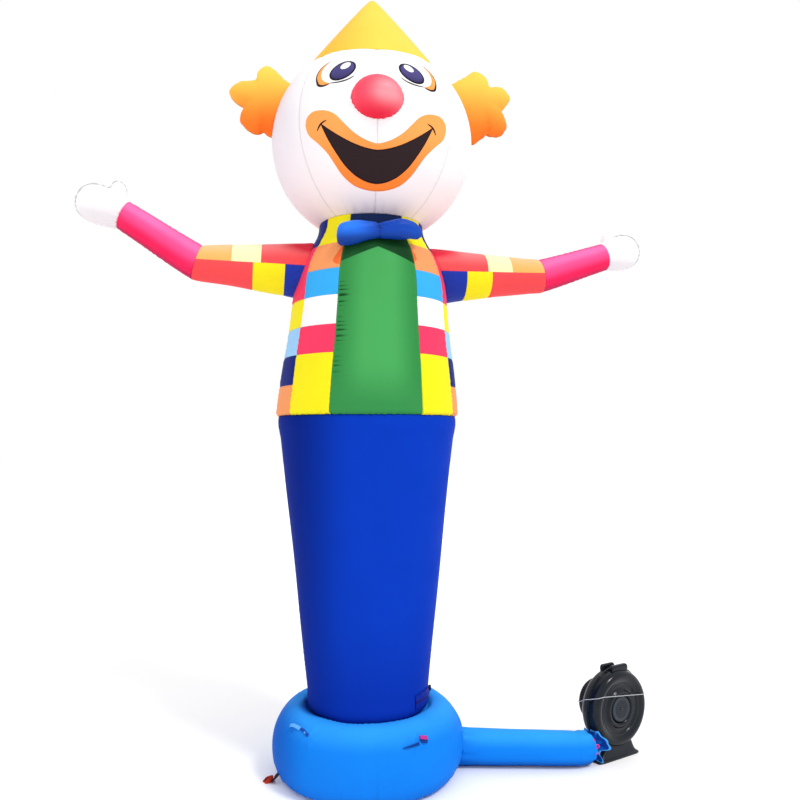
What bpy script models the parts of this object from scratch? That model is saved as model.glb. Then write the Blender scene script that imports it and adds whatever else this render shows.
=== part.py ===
"""Inflatable air dancer: a clown figure blown up on its base ring, with its air duct and blower.

Metres, +Z up. The figure faces -Y, and its base ring stands on the ground at the origin.
Every inflated piece is a filled solid of its blown-up shape. Pieces that touch are GAP apart.
"""

import bmesh
import bpy
import numpy as np

GAP = 0.0003            # left between pieces that touch
CUT_GROW = 0.0005       # how much larger a cutter is than the piece that it stands for
AROUND = 40             # points round a turned piece

# Heights of the figure's level seams
SEAT_Z = 0.278          # leg on base ring
WAIST_Z = 1.561         # coat on leg
NECK_Z = 2.431          # head on coat

# Base ring: outer profile, from the ground up to the seam of the leg
RING_ROWS = [           # radius, height
    (0.345, 0.000), (0.385, 0.016), (0.407, 0.055), (0.416, 0.100), (0.418, 0.145),
    (0.411, 0.195), (0.392, 0.240), (0.358, 0.279), (0.318, 0.301), (0.286, 0.300), (0.264, SEAT_Z)]

LEG_ROWS = [            # radius, height
    (0.252, SEAT_Z + GAP), (0.262, 0.290), (0.270, 0.370), (0.3136, 0.790), (0.3574, 1.188),
    (0.3878, 1.456), (0.3995, 1.546), (0.397, WAIST_Z - GAP)]

COAT_ROWS = [           # radius, height
    (0.399, WAIST_Z), (0.4065, 1.570), (0.4065, 1.600), (0.3981, 1.681), (0.3865, 1.780),
    (0.3735, 1.870), (0.3628, 1.962), (0.3530, 2.050), (0.3465, 2.125), (0.332, 2.200),
    (0.303, 2.275), (0.266, 2.335), (0.243, 2.385), (0.235, NECK_Z - GAP)]
VEST_HALF = 28.5        # degrees from the front middle to each side seam of the green panel
VEST_STEPS = 6
VEST_THICK = 0.0030

# Head ball: an ellipsoid of eight gores, flat where it is sewn to the neck
HEAD_Z = 2.806
HEAD_R = 0.459
HEAD_H = 0.435
HEAD_LEAN = 0.013
HEAD_TURN = -3.4        # degrees from -Y towards +X
HEAD_LEVELS = 16
GORES = 8
GORE_DIP = 0.005

NOSE_LIFT = 4.5         # degrees above the head's widest line
NOSE_HALF = (0.104, 0.091)
NOSE_OUT = 0.078

HAT_BRIM_LEVEL = 53.0   # degrees up the head where the hat is sewn at its sides
HAT_BRIM_DROP = 10.5    # degrees that the seam runs lower in front, and higher behind
HAT_BRIM_SUNK = 0.93    # size of the ring inside the head that the cone starts from
HAT_BRIM_PUFF = 0.006
HAT_TIP_Z = 3.504
HAT_TIP_R = 0.012

# The figure stands a little askew, as blown-up cloth does: how far its axis is off at a height
LEAN_ROWS = [           # height, shift along X
    (0.0, 0.0), (0.40, 0.0), (1.55, -0.006), (2.10, 0.006), (2.80, HEAD_LEAN), (3.60, HEAD_LEAN)]

# Hair tufts: one stuffed three-lobed outline each, in a plane through the head's side
TUFT_THICK = 0.062
TUFT_TILT = 8.0         # degrees that the tuft's plane turns back from the front
TUFTS = {               # middle of the outline, then its points: degrees anticlockwise, radius
    "hair_tuft_left": ((-0.487, -0.030, 2.984), [
        (-74, 0.178), (-88, 0.151), (-102, 0.155), (-123, 0.145), (-137, 0.136), (-157, 0.095),
        (178, 0.134), (166, 0.153), (144, 0.134), (108, 0.101), (100, 0.126), (82, 0.158),
        (68, 0.148), (43, 0.135), (27, 0.150), (0, 0.185), (-45, 0.190)]),
    "hair_tuft_right": ((0.520, -0.020, 3.036), [
        (-99, 0.196), (-76, 0.149), (-51, 0.173), (-35, 0.165), (-11, 0.118), (18, 0.162),
        (40, 0.147), (62, 0.107), (80, 0.138), (101, 0.156), (118, 0.142), (136, 0.144),
        (152, 0.160), (180, 0.190), (-135, 0.200)])}

# Arms: where the middle line bends, with the tube's radius there
SHOULDER_Z = 2.205
SLEEVE_ROWS = [         # share of the way from the coat's middle to the elbow, radius
    (0.30, 0.128), (0.42, 0.123), (0.55, 0.1125), (0.72, 0.0980), (0.88, 0.0855), (1.00, 0.0775)]
ELBOW_R = 0.0765
WRIST_R = 0.0645
ARMS = {                # elbow, wrist, finger tip
    "left": ((-0.764, -0.020, 2.238), (-1.078, -0.020, 2.436), (-1.283, -0.020, 2.502)),
    "right": ((0.822, 0.016, 2.236), (1.137, 0.012, 2.338), (1.341, 0.052, 2.385))}
PALM_ROWS = [           # share of the length, half width, half thickness, shift towards the thumb
    (0.00, 0.0640, 0.0640, 0.000), (0.14, 0.0710, 0.0650, 0.002), (0.34, 0.0820, 0.0660, 0.006),
    (0.56, 0.0890, 0.0640, 0.010), (0.76, 0.0820, 0.0570, 0.013), (0.91, 0.0580, 0.0410, 0.013),
    (0.98, 0.0280, 0.0210, 0.012)]
THUMB_ROWS = [          # along the hand, towards the thumb's side, radius
    (0.040, 0.000, 0.0330), (0.044, 0.040, 0.0410), (0.051, 0.074, 0.0410), (0.057, 0.104, 0.0370),
    (0.061, 0.127, 0.0270), (0.063, 0.139, 0.0130)]
THUMB_SHARES = {        # how far along the hand the thumb is moved, share of its length and radius
    "left": (0.0, 1.0, 1.0), "right": (-0.011, 0.82, 0.75)}

# Bow tie: one stuffed strip, pinched in the middle
TIE_MIDDLE = (0.010, -0.300, 2.338)
TIE_ROWS = [            # along X, drop, half height, half depth, set back
    (-0.176, 0.024, 0.018, 0.013, 0.012), (-0.168, 0.023, 0.040, 0.028, 0.010),
    (-0.142, 0.019, 0.055, 0.039, 0.004), (-0.100, 0.012, 0.057, 0.043, 0.000),
    (-0.052, 0.004, 0.047, 0.039, 0.000), (-0.014, 0.000, 0.037, 0.031, 0.003),
    (0.000, 0.000, 0.033, 0.027, 0.004), (0.014, -0.001, 0.037, 0.031, 0.003),
    (0.052, -0.005, 0.046, 0.038, 0.000), (0.100, -0.010, 0.051, 0.040, 0.002),
    (0.142, -0.010, 0.043, 0.034, 0.010), (0.168, -0.004, 0.030, 0.023, 0.018),
    (0.178, -0.001, 0.013, 0.010, 0.020)]

# Air line: the cloth duct along the ground, and its gathered end that is tied over the nozzle
AIR_ROWS = [            # x, y, height of the middle, radius, depth of the pleats
    (0.385, -0.0080, 0.0780, 0.0775, 0.0000), (0.540, -0.0380, 0.0775, 0.0770, 0.0000),
    (0.700, -0.0680, 0.0760, 0.0755, 0.0000), (0.835, -0.0920, 0.0745, 0.0740, 0.0000),
    (0.900, -0.1010, 0.0735, 0.0730, 0.0000), (0.936, -0.1045, 0.0722, 0.0715, 0.0000),
    (0.965, -0.0975, 0.0737, 0.0700, 0.0020), (0.9926, -0.0852, 0.0745, 0.0525, 0.0035),
    (1.012, -0.0768, 0.0750, 0.0550, 0.0060), (1.036, -0.0663, 0.0750, 0.0590, 0.0090)]
AIR_SEAM_ROW = 5
AIR_TIE_ROW = 7
AIR_STEPS = 2           # rings for each row
PLEATS = 12
TIE_BAND_R = 0.0035

# Blower: turned housing on a foot. Its own X runs along its face and its own Y to its back.
BLOWER_AT = (1.171, -0.064)
BLOWER_TURN = 23.6      # degrees
SHAFT_Z = 0.216
HOUSING_ROWS = [        # radius, depth from the face
    (0.030, 0.0160), (0.058, 0.0160), (0.066, 0.0060), (0.078, 0.0040), (0.087, 0.0130),
    (0.104, 0.0160), (0.122, 0.0080), (0.146, 0.0000), (0.163, 0.0080), (0.172, 0.0300),
    (0.1735, 0.0480), (0.1810, 0.0490), (0.1810, 0.0550), (0.1735, 0.0560), (0.170, 0.0800),
    (0.150, 0.1000), (0.104, 0.1040)]
HOUSING_ENDS = (0.0160, 0.1040)             # depth of the middle of its front and of its back
MOTOR_ROWS = [          # radius, depth from the face
    (0.1000, 0.1043), (0.1000, 0.1600), (0.0900, 0.1850), (0.0600, 0.1970), (0.0200, 0.1980)]
MOTOR_END = 0.1990
VENT_ROWS = [           # radius, depth from the face
    (0.0560, 0.0157), (0.0560, 0.0060), (0.0520, 0.0040)]
FOOT_ROWS = [           # height, left, right, front, back
    (0.000, -0.155, 0.110, -0.006, 0.135), (0.007, -0.155, 0.110, -0.006, 0.135),
    (0.012, -0.142, 0.102, 0.002, 0.125), (0.040, -0.104, 0.086, 0.012, 0.098),
    (0.110, -0.070, 0.070, 0.020, 0.090)]
NOZZLE_Z = 0.075
NOZZLE_R = 0.044
NOZZLE_REACH = (-0.112, -0.160)
NOZZLE_DEPTH = 0.052
LUGS = {                # left, right, front, back, bottom, top
    "blower_lug_back": (-0.045, 0.034, 0.074, 0.092, 0.365, 0.406),
    "blower_lug_front": (-0.028, 0.066, 0.024, 0.044, 0.370, 0.409)}
CORD_R = 0.0016
CORD_ROWS = [           # along the face, depth, height above the shaft: where the taut cord bends
    (-0.1234, -0.0022, 0.078), (0.1389, -0.0022, 0.045), (0.1590, 0.0060, 0.043),
    (0.1785, 0.0475, 0.039), (0.1785, 0.0565, 0.039), (0.1682, 0.0815, 0.034),
    (0.1011, 0.1620, 0.022), (0.0914, 0.1865, 0.018), (0.0600, 0.2011, 0.011),
    (-0.0600, 0.2011, -0.002), (-0.0932, 0.1865, 0.001), (-0.1032, 0.1620, 0.008),
    (-0.1645, 0.0815, 0.049), (-0.1725, 0.0565, 0.060), (-0.1717, 0.0475, 0.062),
    (-0.1475, 0.0060, 0.074)]
GLAND_AT = (0.060, 0.166)                   # along the face, height
GLAND_ROWS = [          # radius, depth from the face
    (0.011, 0.160), (0.011, 0.200), (0.007, 0.212)]

# Small pieces sewn to the ring and the leg
STRAP_THICK = 0.0020
LOOP_ROWS = [           # degrees round from the front, height, stand-off
    (-66, 0.262, 0.0004), (-62, 0.263, 0.0040), (-57, 0.262, 0.0022), (-52, 0.260, 0.0042),
    (-48, 0.257, 0.0004)]
RING_TAB = (29.4, 0.252, 0.016, 0.010, 0.004)   # degrees, height, half width, half length, lift
TAB_THICK = 0.0030
STRAP_FROM = (-74.0, 0.050)                 # degrees round from the front, height
STRAP_OFF = 0.0016      # its middle, so that its corners clear the ring
STRAP_TO = (-0.4285, -0.072, 0.0005)
TAB_ROWS = [            # along the tab, half width, height
    (0.000, 0.007, 0.0030), (0.014, 0.021, 0.0090), (0.030, 0.017, 0.0110), (0.043, 0.006, 0.0040)]
VENT_PATCH = (45.0, 72.0, 0.315, 0.375)     # from and to in degrees round, from and to in height
VENT_STEPS = (3, 3)                         # one step round for each flat side of the leg
VENT_THICK = 0.0015
PULLER_AT = (88.0, 0.345)                   # degrees round, height
PULLER_OFF = 0.0012     # its middle, so that its upper edge clears the widening leg
PULLER_ROWS = [         # off its root, half width, half height
    (0.0, 0.004, 0.006), (0.006, 0.004, 0.007), (0.010, 0.0035, 0.010), (0.013, 0.003, 0.008)]
SEWN_OFF = 0.0004       # how far a strip stands off the flat side that it is sewn to


# ------------------------------------------------------------------ helpers

def catmull(rows, count):
    """Carry a table of rows along a smooth curve through them, evenly by row number."""
    table = np.array(rows, float)
    ends = np.vstack([2 * table[0] - table[1], table, 2 * table[-1] - table[-2]])
    place = np.linspace(0, len(table) - 1, count)
    row = np.minimum(place.astype(int), len(table) - 2)
    t = (place - row)[:, None]
    a, b, c, d = ends[row], ends[row + 1], ends[row + 2], ends[row + 3]
    return 0.5 * (2 * b + (c - a) * t + (2 * a - 5 * b + 4 * c - d) * t ** 2
                  + (3 * b - a - 3 * c + d) * t ** 3)


def leaned(points):
    """Shift points along X by the figure's lean at their height."""
    heights, shifts = np.array(LEAN_ROWS).T
    moved = np.array(points, float)
    moved[..., 0] += np.interp(moved[..., 2], heights, shifts)
    return moved


def unit(vector):
    """A vector scaled to length one."""
    vector = np.array(vector, float)
    return vector / np.linalg.norm(vector)


def facing(degrees, tilt=0.0):
    """The direction at an angle from -Y towards +X, lifted by tilt degrees."""
    turn, lift = np.radians(degrees), np.radians(tilt)
    return np.array([np.sin(turn) * np.cos(lift), -np.cos(turn) * np.cos(lift), np.sin(lift)])


def material(name, colour, roughness=0.55, metallic=0.0):
    """A plain material of one colour."""
    made = bpy.data.materials.get(name) or bpy.data.materials.new(name)
    made.use_nodes = True
    shader = made.node_tree.nodes["Principled BSDF"]
    shader.inputs["Base Color"].default_value = (*colour, 1.0)
    shader.inputs["Roughness"].default_value = roughness
    shader.inputs["Metallic"].default_value = metallic
    return made


def add(name, points, faces, finish=None, parent=None):
    """Add a mesh object whose faces all point outwards."""
    mesh = bpy.data.meshes.new(name)
    mesh.from_pydata([tuple(p) for p in points], [], faces)
    work = bmesh.new()
    work.from_mesh(mesh)
    bmesh.ops.recalc_face_normals(work, faces=work.faces)
    work.to_mesh(mesh)
    work.free()
    mesh.shade_smooth()
    mesh.set_sharp_from_angle(angle=np.radians(38))
    thing = bpy.data.objects.new(name, mesh)
    bpy.context.scene.collection.objects.link(thing)
    thing.parent = parent
    if finish:
        mesh.materials.append(finish)
    return thing


def tube(name, rings, finish=None, parent=None, tips=(None, None), closed=False):
    """Skin rings of points into one solid, its ends closed by fans, or joined end to end."""
    rings = np.array(rings, float)
    count, around = rings.shape[:2]
    points = list(rings.reshape(-1, 3))
    faces = []
    for i in range(count if closed else count - 1):
        k = (i + 1) % count
        for j in range(around):
            n = (j + 1) % around
            faces.append((i * around + j, i * around + n, k * around + n, k * around + j))
    if not closed:
        for ring, tip in ((0, tips[0]), (count - 1, tips[1])):
            points.append(rings[ring].mean(axis=0) if tip is None else np.array(tip))
            for j in range(around):
                faces.append((ring * around + j, ring * around + (j + 1) % around, len(points) - 1))
    return add(name, points, faces, finish, parent)


def sheet(name, front, back, finish=None, parent=None):
    """Close two facing grids of points into one thin solid."""
    front, back = np.array(front, float), np.array(back, float)
    rows, columns = front.shape[:2]
    points = np.concatenate([front.reshape(-1, 3), back.reshape(-1, 3)])
    far = rows * columns
    faces = []
    for i in range(rows - 1):
        for j in range(columns - 1):
            a, b, c, d = (i * columns + j, i * columns + j + 1,
                          (i + 1) * columns + j + 1, (i + 1) * columns + j)
            faces += [(a, b, c, d), (far + d, far + c, far + b, far + a)]
    top = list(range(columns))
    right = [i * columns + columns - 1 for i in range(1, rows)]
    bottom = [(rows - 1) * columns + j for j in range(columns - 2, -1, -1)]
    left = [i * columns for i in range(rows - 2, 0, -1)]
    rim = top + right + bottom + left
    for here, after in zip(rim, rim[1:] + rim[:1]):
        faces.append((after, here, far + here, far + after))
    return add(name, points, faces, finish, parent)


def circle(middle, along, half_up, half_side, count, up=(0, 0, 1), wave=0.0, waves=0):
    """A ring of points round a middle, square to a direction, with waves on its radius."""
    along = unit(along)
    side = unit(np.cross(along, up))
    rise = np.cross(side, along)
    turn = np.linspace(0, 2 * np.pi, count, endpoint=False)
    swell = 1 + wave * np.cos(waves * turn) / max(half_up, 1e-6)
    return (np.array(middle) + np.outer(np.cos(turn) * half_side * swell, side)
            + np.outer(np.sin(turn) * half_up * swell, rise))


def turned(rows, angles, grow=0.0):
    """Rings about the Z axis, at angles from -Y, for rows of radius and height."""
    turn = np.radians(angles)
    return [np.stack([(radius + grow) * np.sin(turn), -(radius + grow) * np.cos(turn),
                      np.full(len(turn), height)], axis=1) for radius, height in rows]


def even_angles(count=AROUND, first=0.0):
    """Angles evenly round a circle, in degrees."""
    return first + np.arange(count) * 360.0 / count


def boolean(target, other, operation):
    """Cut a piece by another, or join another to it, and hide that other."""
    step = target.modifiers.new(operation.lower(), "BOOLEAN")
    step.operation = operation
    step.object = other
    step.solver = "EXACT"
    other.hide_render = True
    other.display_type = "WIRE"


# ------------------------------------------------------------------ the figure

def base_ring(finish):
    """The puffed ring at the foot, with the shallow seat that the leg is sewn into."""
    rings = turned(RING_ROWS, even_angles())
    return tube("base_ring", leaned(rings), finish, tips=((0, 0, 0), (0, 0, SEAT_Z)))


def leg_column(finish):
    """The long blue tube that widens from the ring up to the waist."""
    return tube("leg_column", leaned(turned(LEG_ROWS, even_angles())), finish)


def coat_angles():
    """Angles round the coat: even steps across the green panel, and even steps round the rest."""
    front = np.linspace(-VEST_HALF, VEST_HALF, VEST_STEPS + 1)
    rest = np.linspace(VEST_HALF, 360 - VEST_HALF, AROUND - VEST_STEPS)
    return front, rest


def coat_rings(grow=0.0):
    """Rings of the coat's outer surface without the recess of the green panel."""
    front, rest = coat_angles()
    return leaned(turned(COAT_ROWS, np.concatenate([front, rest[1:-1]]), grow))


def torso_coat(finish):
    """The patchwork body, with a recess as deep as the green panel that is sewn into its front."""
    front, rest = coat_angles()
    sunk = turned(COAT_ROWS, front, -VEST_THICK)
    outer = turned(COAT_ROWS, rest)
    rings = [np.concatenate([a, b]) for a, b in zip(sunk, outer)]
    return tube("torso_coat", leaned(rings), finish)


def vest_panel(finish):
    """The green front panel, from the waist to the neck."""
    inset = np.degrees(GAP / 0.25)
    angles = np.linspace(-VEST_HALF + inset, VEST_HALF - inset, VEST_STEPS + 1)
    front = leaned(turned(COAT_ROWS, angles))
    back = leaned(turned(COAT_ROWS, angles, GAP - VEST_THICK))
    return sheet("vest_panel", front, back, finish)


def head_ring(level, grow=0.0):
    """One level ring of the head, degrees up from its widest line, drawn in at the gore seams."""
    turn = even_angles(first=HEAD_TURN)
    off_seam = np.abs((turn - HEAD_TURN + 180.0 / GORES) % (360.0 / GORES) - 180.0 / GORES)
    flat = np.cos(np.radians(level))
    out = (HEAD_R + grow) * flat - GORE_DIP * np.maximum(0, 1 - off_seam / 13.0) ** 2 * flat
    angle = np.radians(turn)
    height = np.full(len(turn), HEAD_Z + (HEAD_H + grow) * np.sin(np.radians(level)))
    return np.stack([HEAD_LEAN + out * np.sin(angle), -out * np.cos(angle), height], axis=1)


def head_levels():
    """Levels of the head's rings, in degrees, from the neck to just under the top."""
    neck = np.degrees(np.arcsin((NECK_Z - HEAD_Z) / HEAD_H))
    return np.linspace(neck, 84.0, HEAD_LEVELS)


def head_solid(name, finish=None, grow=0.0):
    """The head's solid, or a larger one that cuts what is sewn to it."""
    rings = [head_ring(level, grow) for level in head_levels()]
    top = (HEAD_LEAN, 0, HEAD_Z + HEAD_H + grow)
    return tube(name, rings, finish, tips=(None, top))


def seated_on(piece, cutter_name, cutter_maker):
    """Cut a piece by a slightly larger copy of what it is sewn to."""
    boolean(piece, cutter_maker(cutter_name), "DIFFERENCE")
    return piece


def head_cutter(name):
    """The head, grown by the gap that a piece on it keeps."""
    return head_solid(name, grow=CUT_GROW)


def coat_cutter(name):
    """The coat, grown by the gap that a piece on it keeps."""
    return tube(name, coat_rings(CUT_GROW))


def nose(finish):
    """The red ball, half of it standing out of the face."""
    out = facing(HEAD_TURN, NOSE_LIFT)
    seat = np.array([HEAD_LEAN, 0, HEAD_Z]) + out * (HEAD_R - 0.012)
    rings = []
    for level in np.radians([-24, 0, 24, 46, 64, 80]):
        middle = seat + out * NOSE_OUT * np.sin(level)
        rings.append(circle(middle, out, NOSE_HALF[1] * np.cos(level),
                            NOSE_HALF[0] * np.cos(level), 24))
    ball = tube("nose", rings, finish, tips=(None, seat + out * NOSE_OUT))
    return seated_on(ball, "nose_cutter", head_cutter)


def hair_tuft(name, finish):
    """One stuffed tuft: its lobed outline, puffed to both sides and sewn flat at the rim."""
    middle, rows = TUFTS[name]
    middle = np.array(middle)
    turn = -TUFT_TILT if middle[0] < 0 else TUFT_TILT
    across = np.array([np.cos(np.radians(turn)), np.sin(np.radians(turn)), 0])
    front = np.cross(across, (0, 0, 1))
    table = np.array(rows + rows[:1], float)
    table[:, 0] = np.degrees(np.unwrap(np.radians(table[:, 0])))
    outline = catmull(table, 2 * len(rows) + 1)[:-1]
    angle, reach = np.radians(outline[:, 0]), outline[:, 1]
    spokes = np.outer(np.cos(angle) * reach, across) + np.outer(np.sin(angle) * reach, (0, 0, 1))
    rings = []
    for puff in np.radians([-66, -40, -16, 0, 16, 40, 66]):
        lift = front * TUFT_THICK * np.sin(puff)
        rings.append(middle + spokes * np.cos(puff) ** 0.8 + lift)
    tips = (middle - front * TUFT_THICK, middle + front * TUFT_THICK)
    return seated_on(tube(name, rings, finish, tips=tips), name + "_cutter", head_cutter)


def hat_cone(finish):
    """The pointed hat: a blown-up cone from a slanting seam on the head, cut to the head below."""
    turn = np.radians(even_angles(first=HEAD_TURN))
    level = np.radians(HAT_BRIM_LEVEL - HAT_BRIM_DROP * np.cos(turn))
    out = np.stack([np.sin(turn), -np.cos(turn), 0 * turn], axis=1)
    middle = np.array([HEAD_LEAN, 0, HEAD_Z])
    brim = middle + out * (HEAD_R * np.cos(level))[:, None]
    brim[:, 2] += HEAD_H * np.sin(level)
    rings = [middle + (brim - middle) * HAT_BRIM_SUNK]
    tip = np.array([HEAD_LEAN, 0, HAT_TIP_Z])
    for share in (0.0, 0.035, 0.20, 0.50, 0.78, 0.94, 1.0):
        puff = HAT_BRIM_PUFF * np.sin(np.pi * share) ** 0.5
        rings.append(brim + (tip + out * HAT_TIP_R - brim) * share + out * puff)
    piece = tube("hat_cone", rings, finish, tips=(None, tip + (0, 0, 0.002)))
    return seated_on(piece, "hat_cutter", head_cutter)


def sleeve(side, finish):
    """The patchwork upper arm, from the coat's side to the elbow seam."""
    elbow, wrist, _ = (np.array(point) for point in ARMS[side])
    root = np.array([0, 0, SHOULDER_Z])
    along = unit(elbow - root)
    bend = unit(along + unit(wrist - elbow))
    rings = []
    for share, radius in SLEEVE_ROWS[:-1]:
        rings.append(circle(root + (elbow - root) * share, along, radius, radius, 24))
    rings.append(circle(elbow - bend * GAP / 2, bend, SLEEVE_ROWS[-1][1], SLEEVE_ROWS[-1][1], 24))
    piece = tube("sleeve_" + side, rings, finish)
    return seated_on(piece, "sleeve_cutter_" + side, coat_cutter)


def forearm(side, finish):
    """The pink tube from the elbow seam to the cuff."""
    elbow, wrist, tip = (np.array(point) for point in ARMS[side])
    root = np.array([0, 0, SHOULDER_Z])
    along = unit(wrist - elbow)
    bend = unit(unit(elbow - root) + along)
    cuff = unit(along + unit(tip - wrist))
    rings = [circle(elbow + bend * GAP / 2, bend, ELBOW_R, ELBOW_R, 20)]
    for share in (0.14, 0.5, 0.9):
        radius = ELBOW_R + (WRIST_R - ELBOW_R) * share
        rings.append(circle(elbow + (wrist - elbow) * share, along, radius, radius, 20))
    rings.append(circle(wrist - cuff * GAP / 2, cuff, WRIST_R, WRIST_R, 20))
    return tube("forearm_" + side, rings, finish)


def mitten(side, finish):
    """The white hand: a puffed palm, and a thumb that stands up from it."""
    elbow, wrist, tip = (np.array(point) for point in ARMS[side])
    along = unit(tip - wrist)
    cuff = unit(unit(wrist - elbow) + along)
    length = np.linalg.norm(tip - wrist)
    thumb_way = unit(np.cross(np.cross(along, (0, 0, 1)), along))
    rings = []
    for share, half_wide, half_thick, shift in PALM_ROWS:
        middle = wrist + along * length * share + thumb_way * shift
        facing_way = cuff if share == 0 else along
        if share == 0:
            middle = wrist + cuff * GAP / 2
        rings.append(circle(middle, facing_way, half_wide, half_thick, 20))
    palm = tube("mitten_" + side, rings, finish, tips=(None, tip + thumb_way * PALM_ROWS[-1][3]))
    thumb_rings = []
    shift, share, wide = THUMB_SHARES[side]
    for forward, out, radius in THUMB_ROWS:
        middle = wrist + along * (forward + shift) + thumb_way * out * share
        thumb_rings.append(circle(middle, thumb_way, radius * wide, radius * wide, 12, up=along))
    thumb = tube("thumb_" + side, thumb_rings)
    boolean(palm, thumb, "UNION")
    return palm


def bow_tie(finish):
    """The stuffed tie, seated on the coat under the head."""
    rings = []
    for along, drop, half_high, half_deep, back in TIE_ROWS:
        middle = np.array(TIE_MIDDLE) + (along, back, -drop)
        rings.append(circle(middle, (1, 0, 0), half_high, half_deep, 16))
    return seated_on(tube("bow_tie", rings, finish), "tie_cutter", coat_cutter)


# ------------------------------------------------------------------ duct and blower

def air_line():
    """The air line's middle points, their directions, the radius and the pleats' depth at each."""
    line = catmull(AIR_ROWS, AIR_STEPS * (len(AIR_ROWS) - 1) + 1)
    way = np.gradient(line[:, :2], axis=0)
    way = np.column_stack([way, np.zeros(len(way))])
    return line[:, :3], way / np.linalg.norm(way, axis=1)[:, None], line[:, 3], line[:, 4]


def air_duct(finish):
    """The blue cloth tube, cut to the ring that it is sewn into."""
    last = AIR_SEAM_ROW * AIR_STEPS + 1
    middles, ways, radii, _ = (column[:last] for column in air_line())
    rings = [circle(p, way, r, r, 24) for p, way, r in zip(middles, ways, radii)]
    piece = tube("air_duct", rings, finish)
    cutter = tube("duct_cutter", leaned(turned(RING_ROWS, even_angles(), CUT_GROW)),
                  tips=((0, 0, -0.01), None))
    boolean(piece, cutter, "DIFFERENCE")
    return piece


def blower_point(along, depth, height):
    """A point of the blower's own frame in the world."""
    turn = np.radians(BLOWER_TURN)
    return np.array([BLOWER_AT[0] + along * np.cos(turn) - depth * np.sin(turn),
                     BLOWER_AT[1] + along * np.sin(turn) + depth * np.cos(turn), height])


def gathered_end(finish, stand):
    """The duct's end, drawn in by its tie and spread in pleats over the nozzle."""
    first = AIR_SEAM_ROW * AIR_STEPS
    middles, ways, radii, pleats = (column[first:] for column in air_line())
    middles[0] += ways[0] * GAP
    rings = [circle(p, way, r, r, 4 * PLEATS, wave=deep, waves=PLEATS)
             for p, way, r, deep in zip(middles, ways, radii, pleats)]
    piece = tube("duct_gather", rings, finish)
    boolean(piece, tube("nozzle_cutter", nozzle_rings(GAP, (0.0, NOZZLE_REACH[1] - GAP))), "DIFFERENCE")
    boolean(piece, shaft_cutter("gather_cutter", stand), "DIFFERENCE")
    boolean(piece, foot_cutter("gather_foot_cutter", stand), "DIFFERENCE")


def nozzle_rings(grow, reach):
    """Rings of the blower's round nozzle, in the world."""
    way = blower_point(-1, 0, 0) - blower_point(0, 0, 0)
    return [circle(blower_point(along, NOZZLE_DEPTH, NOZZLE_Z), way, NOZZLE_R + grow,
                   NOZZLE_R + grow, 24) for along in reach]


def turned_on_shaft(name, rows, count, finish, parent, tips):
    """A piece turned about the blower's shaft."""
    rings = [circle((0, depth, SHAFT_Z), (0, 1, 0), radius, radius, count) for radius, depth in rows]
    ends = [None if depth is None else (0, depth, SHAFT_Z) for depth in tips]
    return tube(name, rings, finish, parent, tips=ends)


def block(name, rows, finish, parent):
    """A solid of level rectangles, one above the other."""
    rings = [[(left, front, z), (right, front, z), (right, back, z), (left, back, z)]
             for z, left, right, front, back in rows]
    return tube(name, rings, finish, parent)


def blower_stand():
    """The empty that carries the blower's pieces at its place on the ground."""
    stand = bpy.data.objects.new("blower_stand", None)
    bpy.context.scene.collection.objects.link(stand)
    stand.location = (*BLOWER_AT, 0)
    stand.rotation_euler = (0, 0, np.radians(BLOWER_TURN))
    return stand


def shaft_cutter(name, stand):
    """The fan housing, grown by the gap that its neighbours keep."""
    rows = [(radius + CUT_GROW, depth) for radius, depth in HOUSING_ROWS]
    return turned_on_shaft(name, rows, 36, None, stand, HOUSING_ENDS)


def foot_cutter(name, stand):
    """The foot, grown by the gap that its neighbours keep."""
    rows = [(z, left - CUT_GROW, right + CUT_GROW, front - CUT_GROW, back + CUT_GROW)
            for z, left, right, front, back in FOOT_ROWS]
    under = (-0.001, *rows[0][1:])
    return block(name, [under] + rows, None, stand)


def blower(plastic, grey, stand):
    """The fan housing with its motor cap, vent, foot, nozzle, lugs and cord gland."""
    turned_on_shaft("blower_housing", HOUSING_ROWS, 36, plastic, stand, HOUSING_ENDS)
    turned_on_shaft("blower_motor_cap", MOTOR_ROWS, 24, plastic, stand, (None, MOTOR_END))
    turned_on_shaft("blower_vent", VENT_ROWS, 24, grey, stand, (None, None))
    foot = block("blower_foot", FOOT_ROWS, plastic, stand)
    boolean(foot, shaft_cutter("foot_cutter", stand), "DIFFERENCE")
    nozzle = tube("blower_nozzle", nozzle_rings(0.0, NOZZLE_REACH), plastic)
    boolean(nozzle, shaft_cutter("nozzle_seat", stand), "DIFFERENCE")
    boolean(nozzle, foot_cutter("nozzle_foot_cutter", stand), "DIFFERENCE")
    for name, (left, right, front, back, bottom, top) in LUGS.items():
        lug = block(name, [(bottom, left, right, front, back), (top - 0.006, left, right, front, back),
                           (top, left + 0.008, right - 0.008, front, back)], plastic, stand)
        boolean(lug, shaft_cutter(name + "_cutter", stand), "DIFFERENCE")
    along, height = GLAND_AT
    gland = tube("blower_cord_gland", [circle((along, depth, height), (0, 1, 0), radius, radius, 12)
                                       for radius, depth in GLAND_ROWS], grey, stand)
    motor_rows = [(radius + CUT_GROW, depth + CUT_GROW) for radius, depth in MOTOR_ROWS]
    ends = (MOTOR_ROWS[0][1] - 0.01, MOTOR_END + CUT_GROW)
    boolean(gland, turned_on_shaft("gland_cutter", motor_rows, 24, None, stand, ends), "DIFFERENCE")


def around_cord(finish, stand):
    """The thin cord tied round the blower: a closed loop, straight between the edges it bends over."""
    line = np.array(CORD_ROWS) + (0, 0, SHAFT_Z)
    before, after = line - np.roll(line, 1, axis=0), np.roll(line, -1, axis=0) - line
    rings = [circle(point, unit(unit(a) + unit(b)), CORD_R, CORD_R, 8)
             for point, a, b in zip(line, before, after)]
    tube("blower_cord", rings, finish, stand, closed=True)


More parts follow.
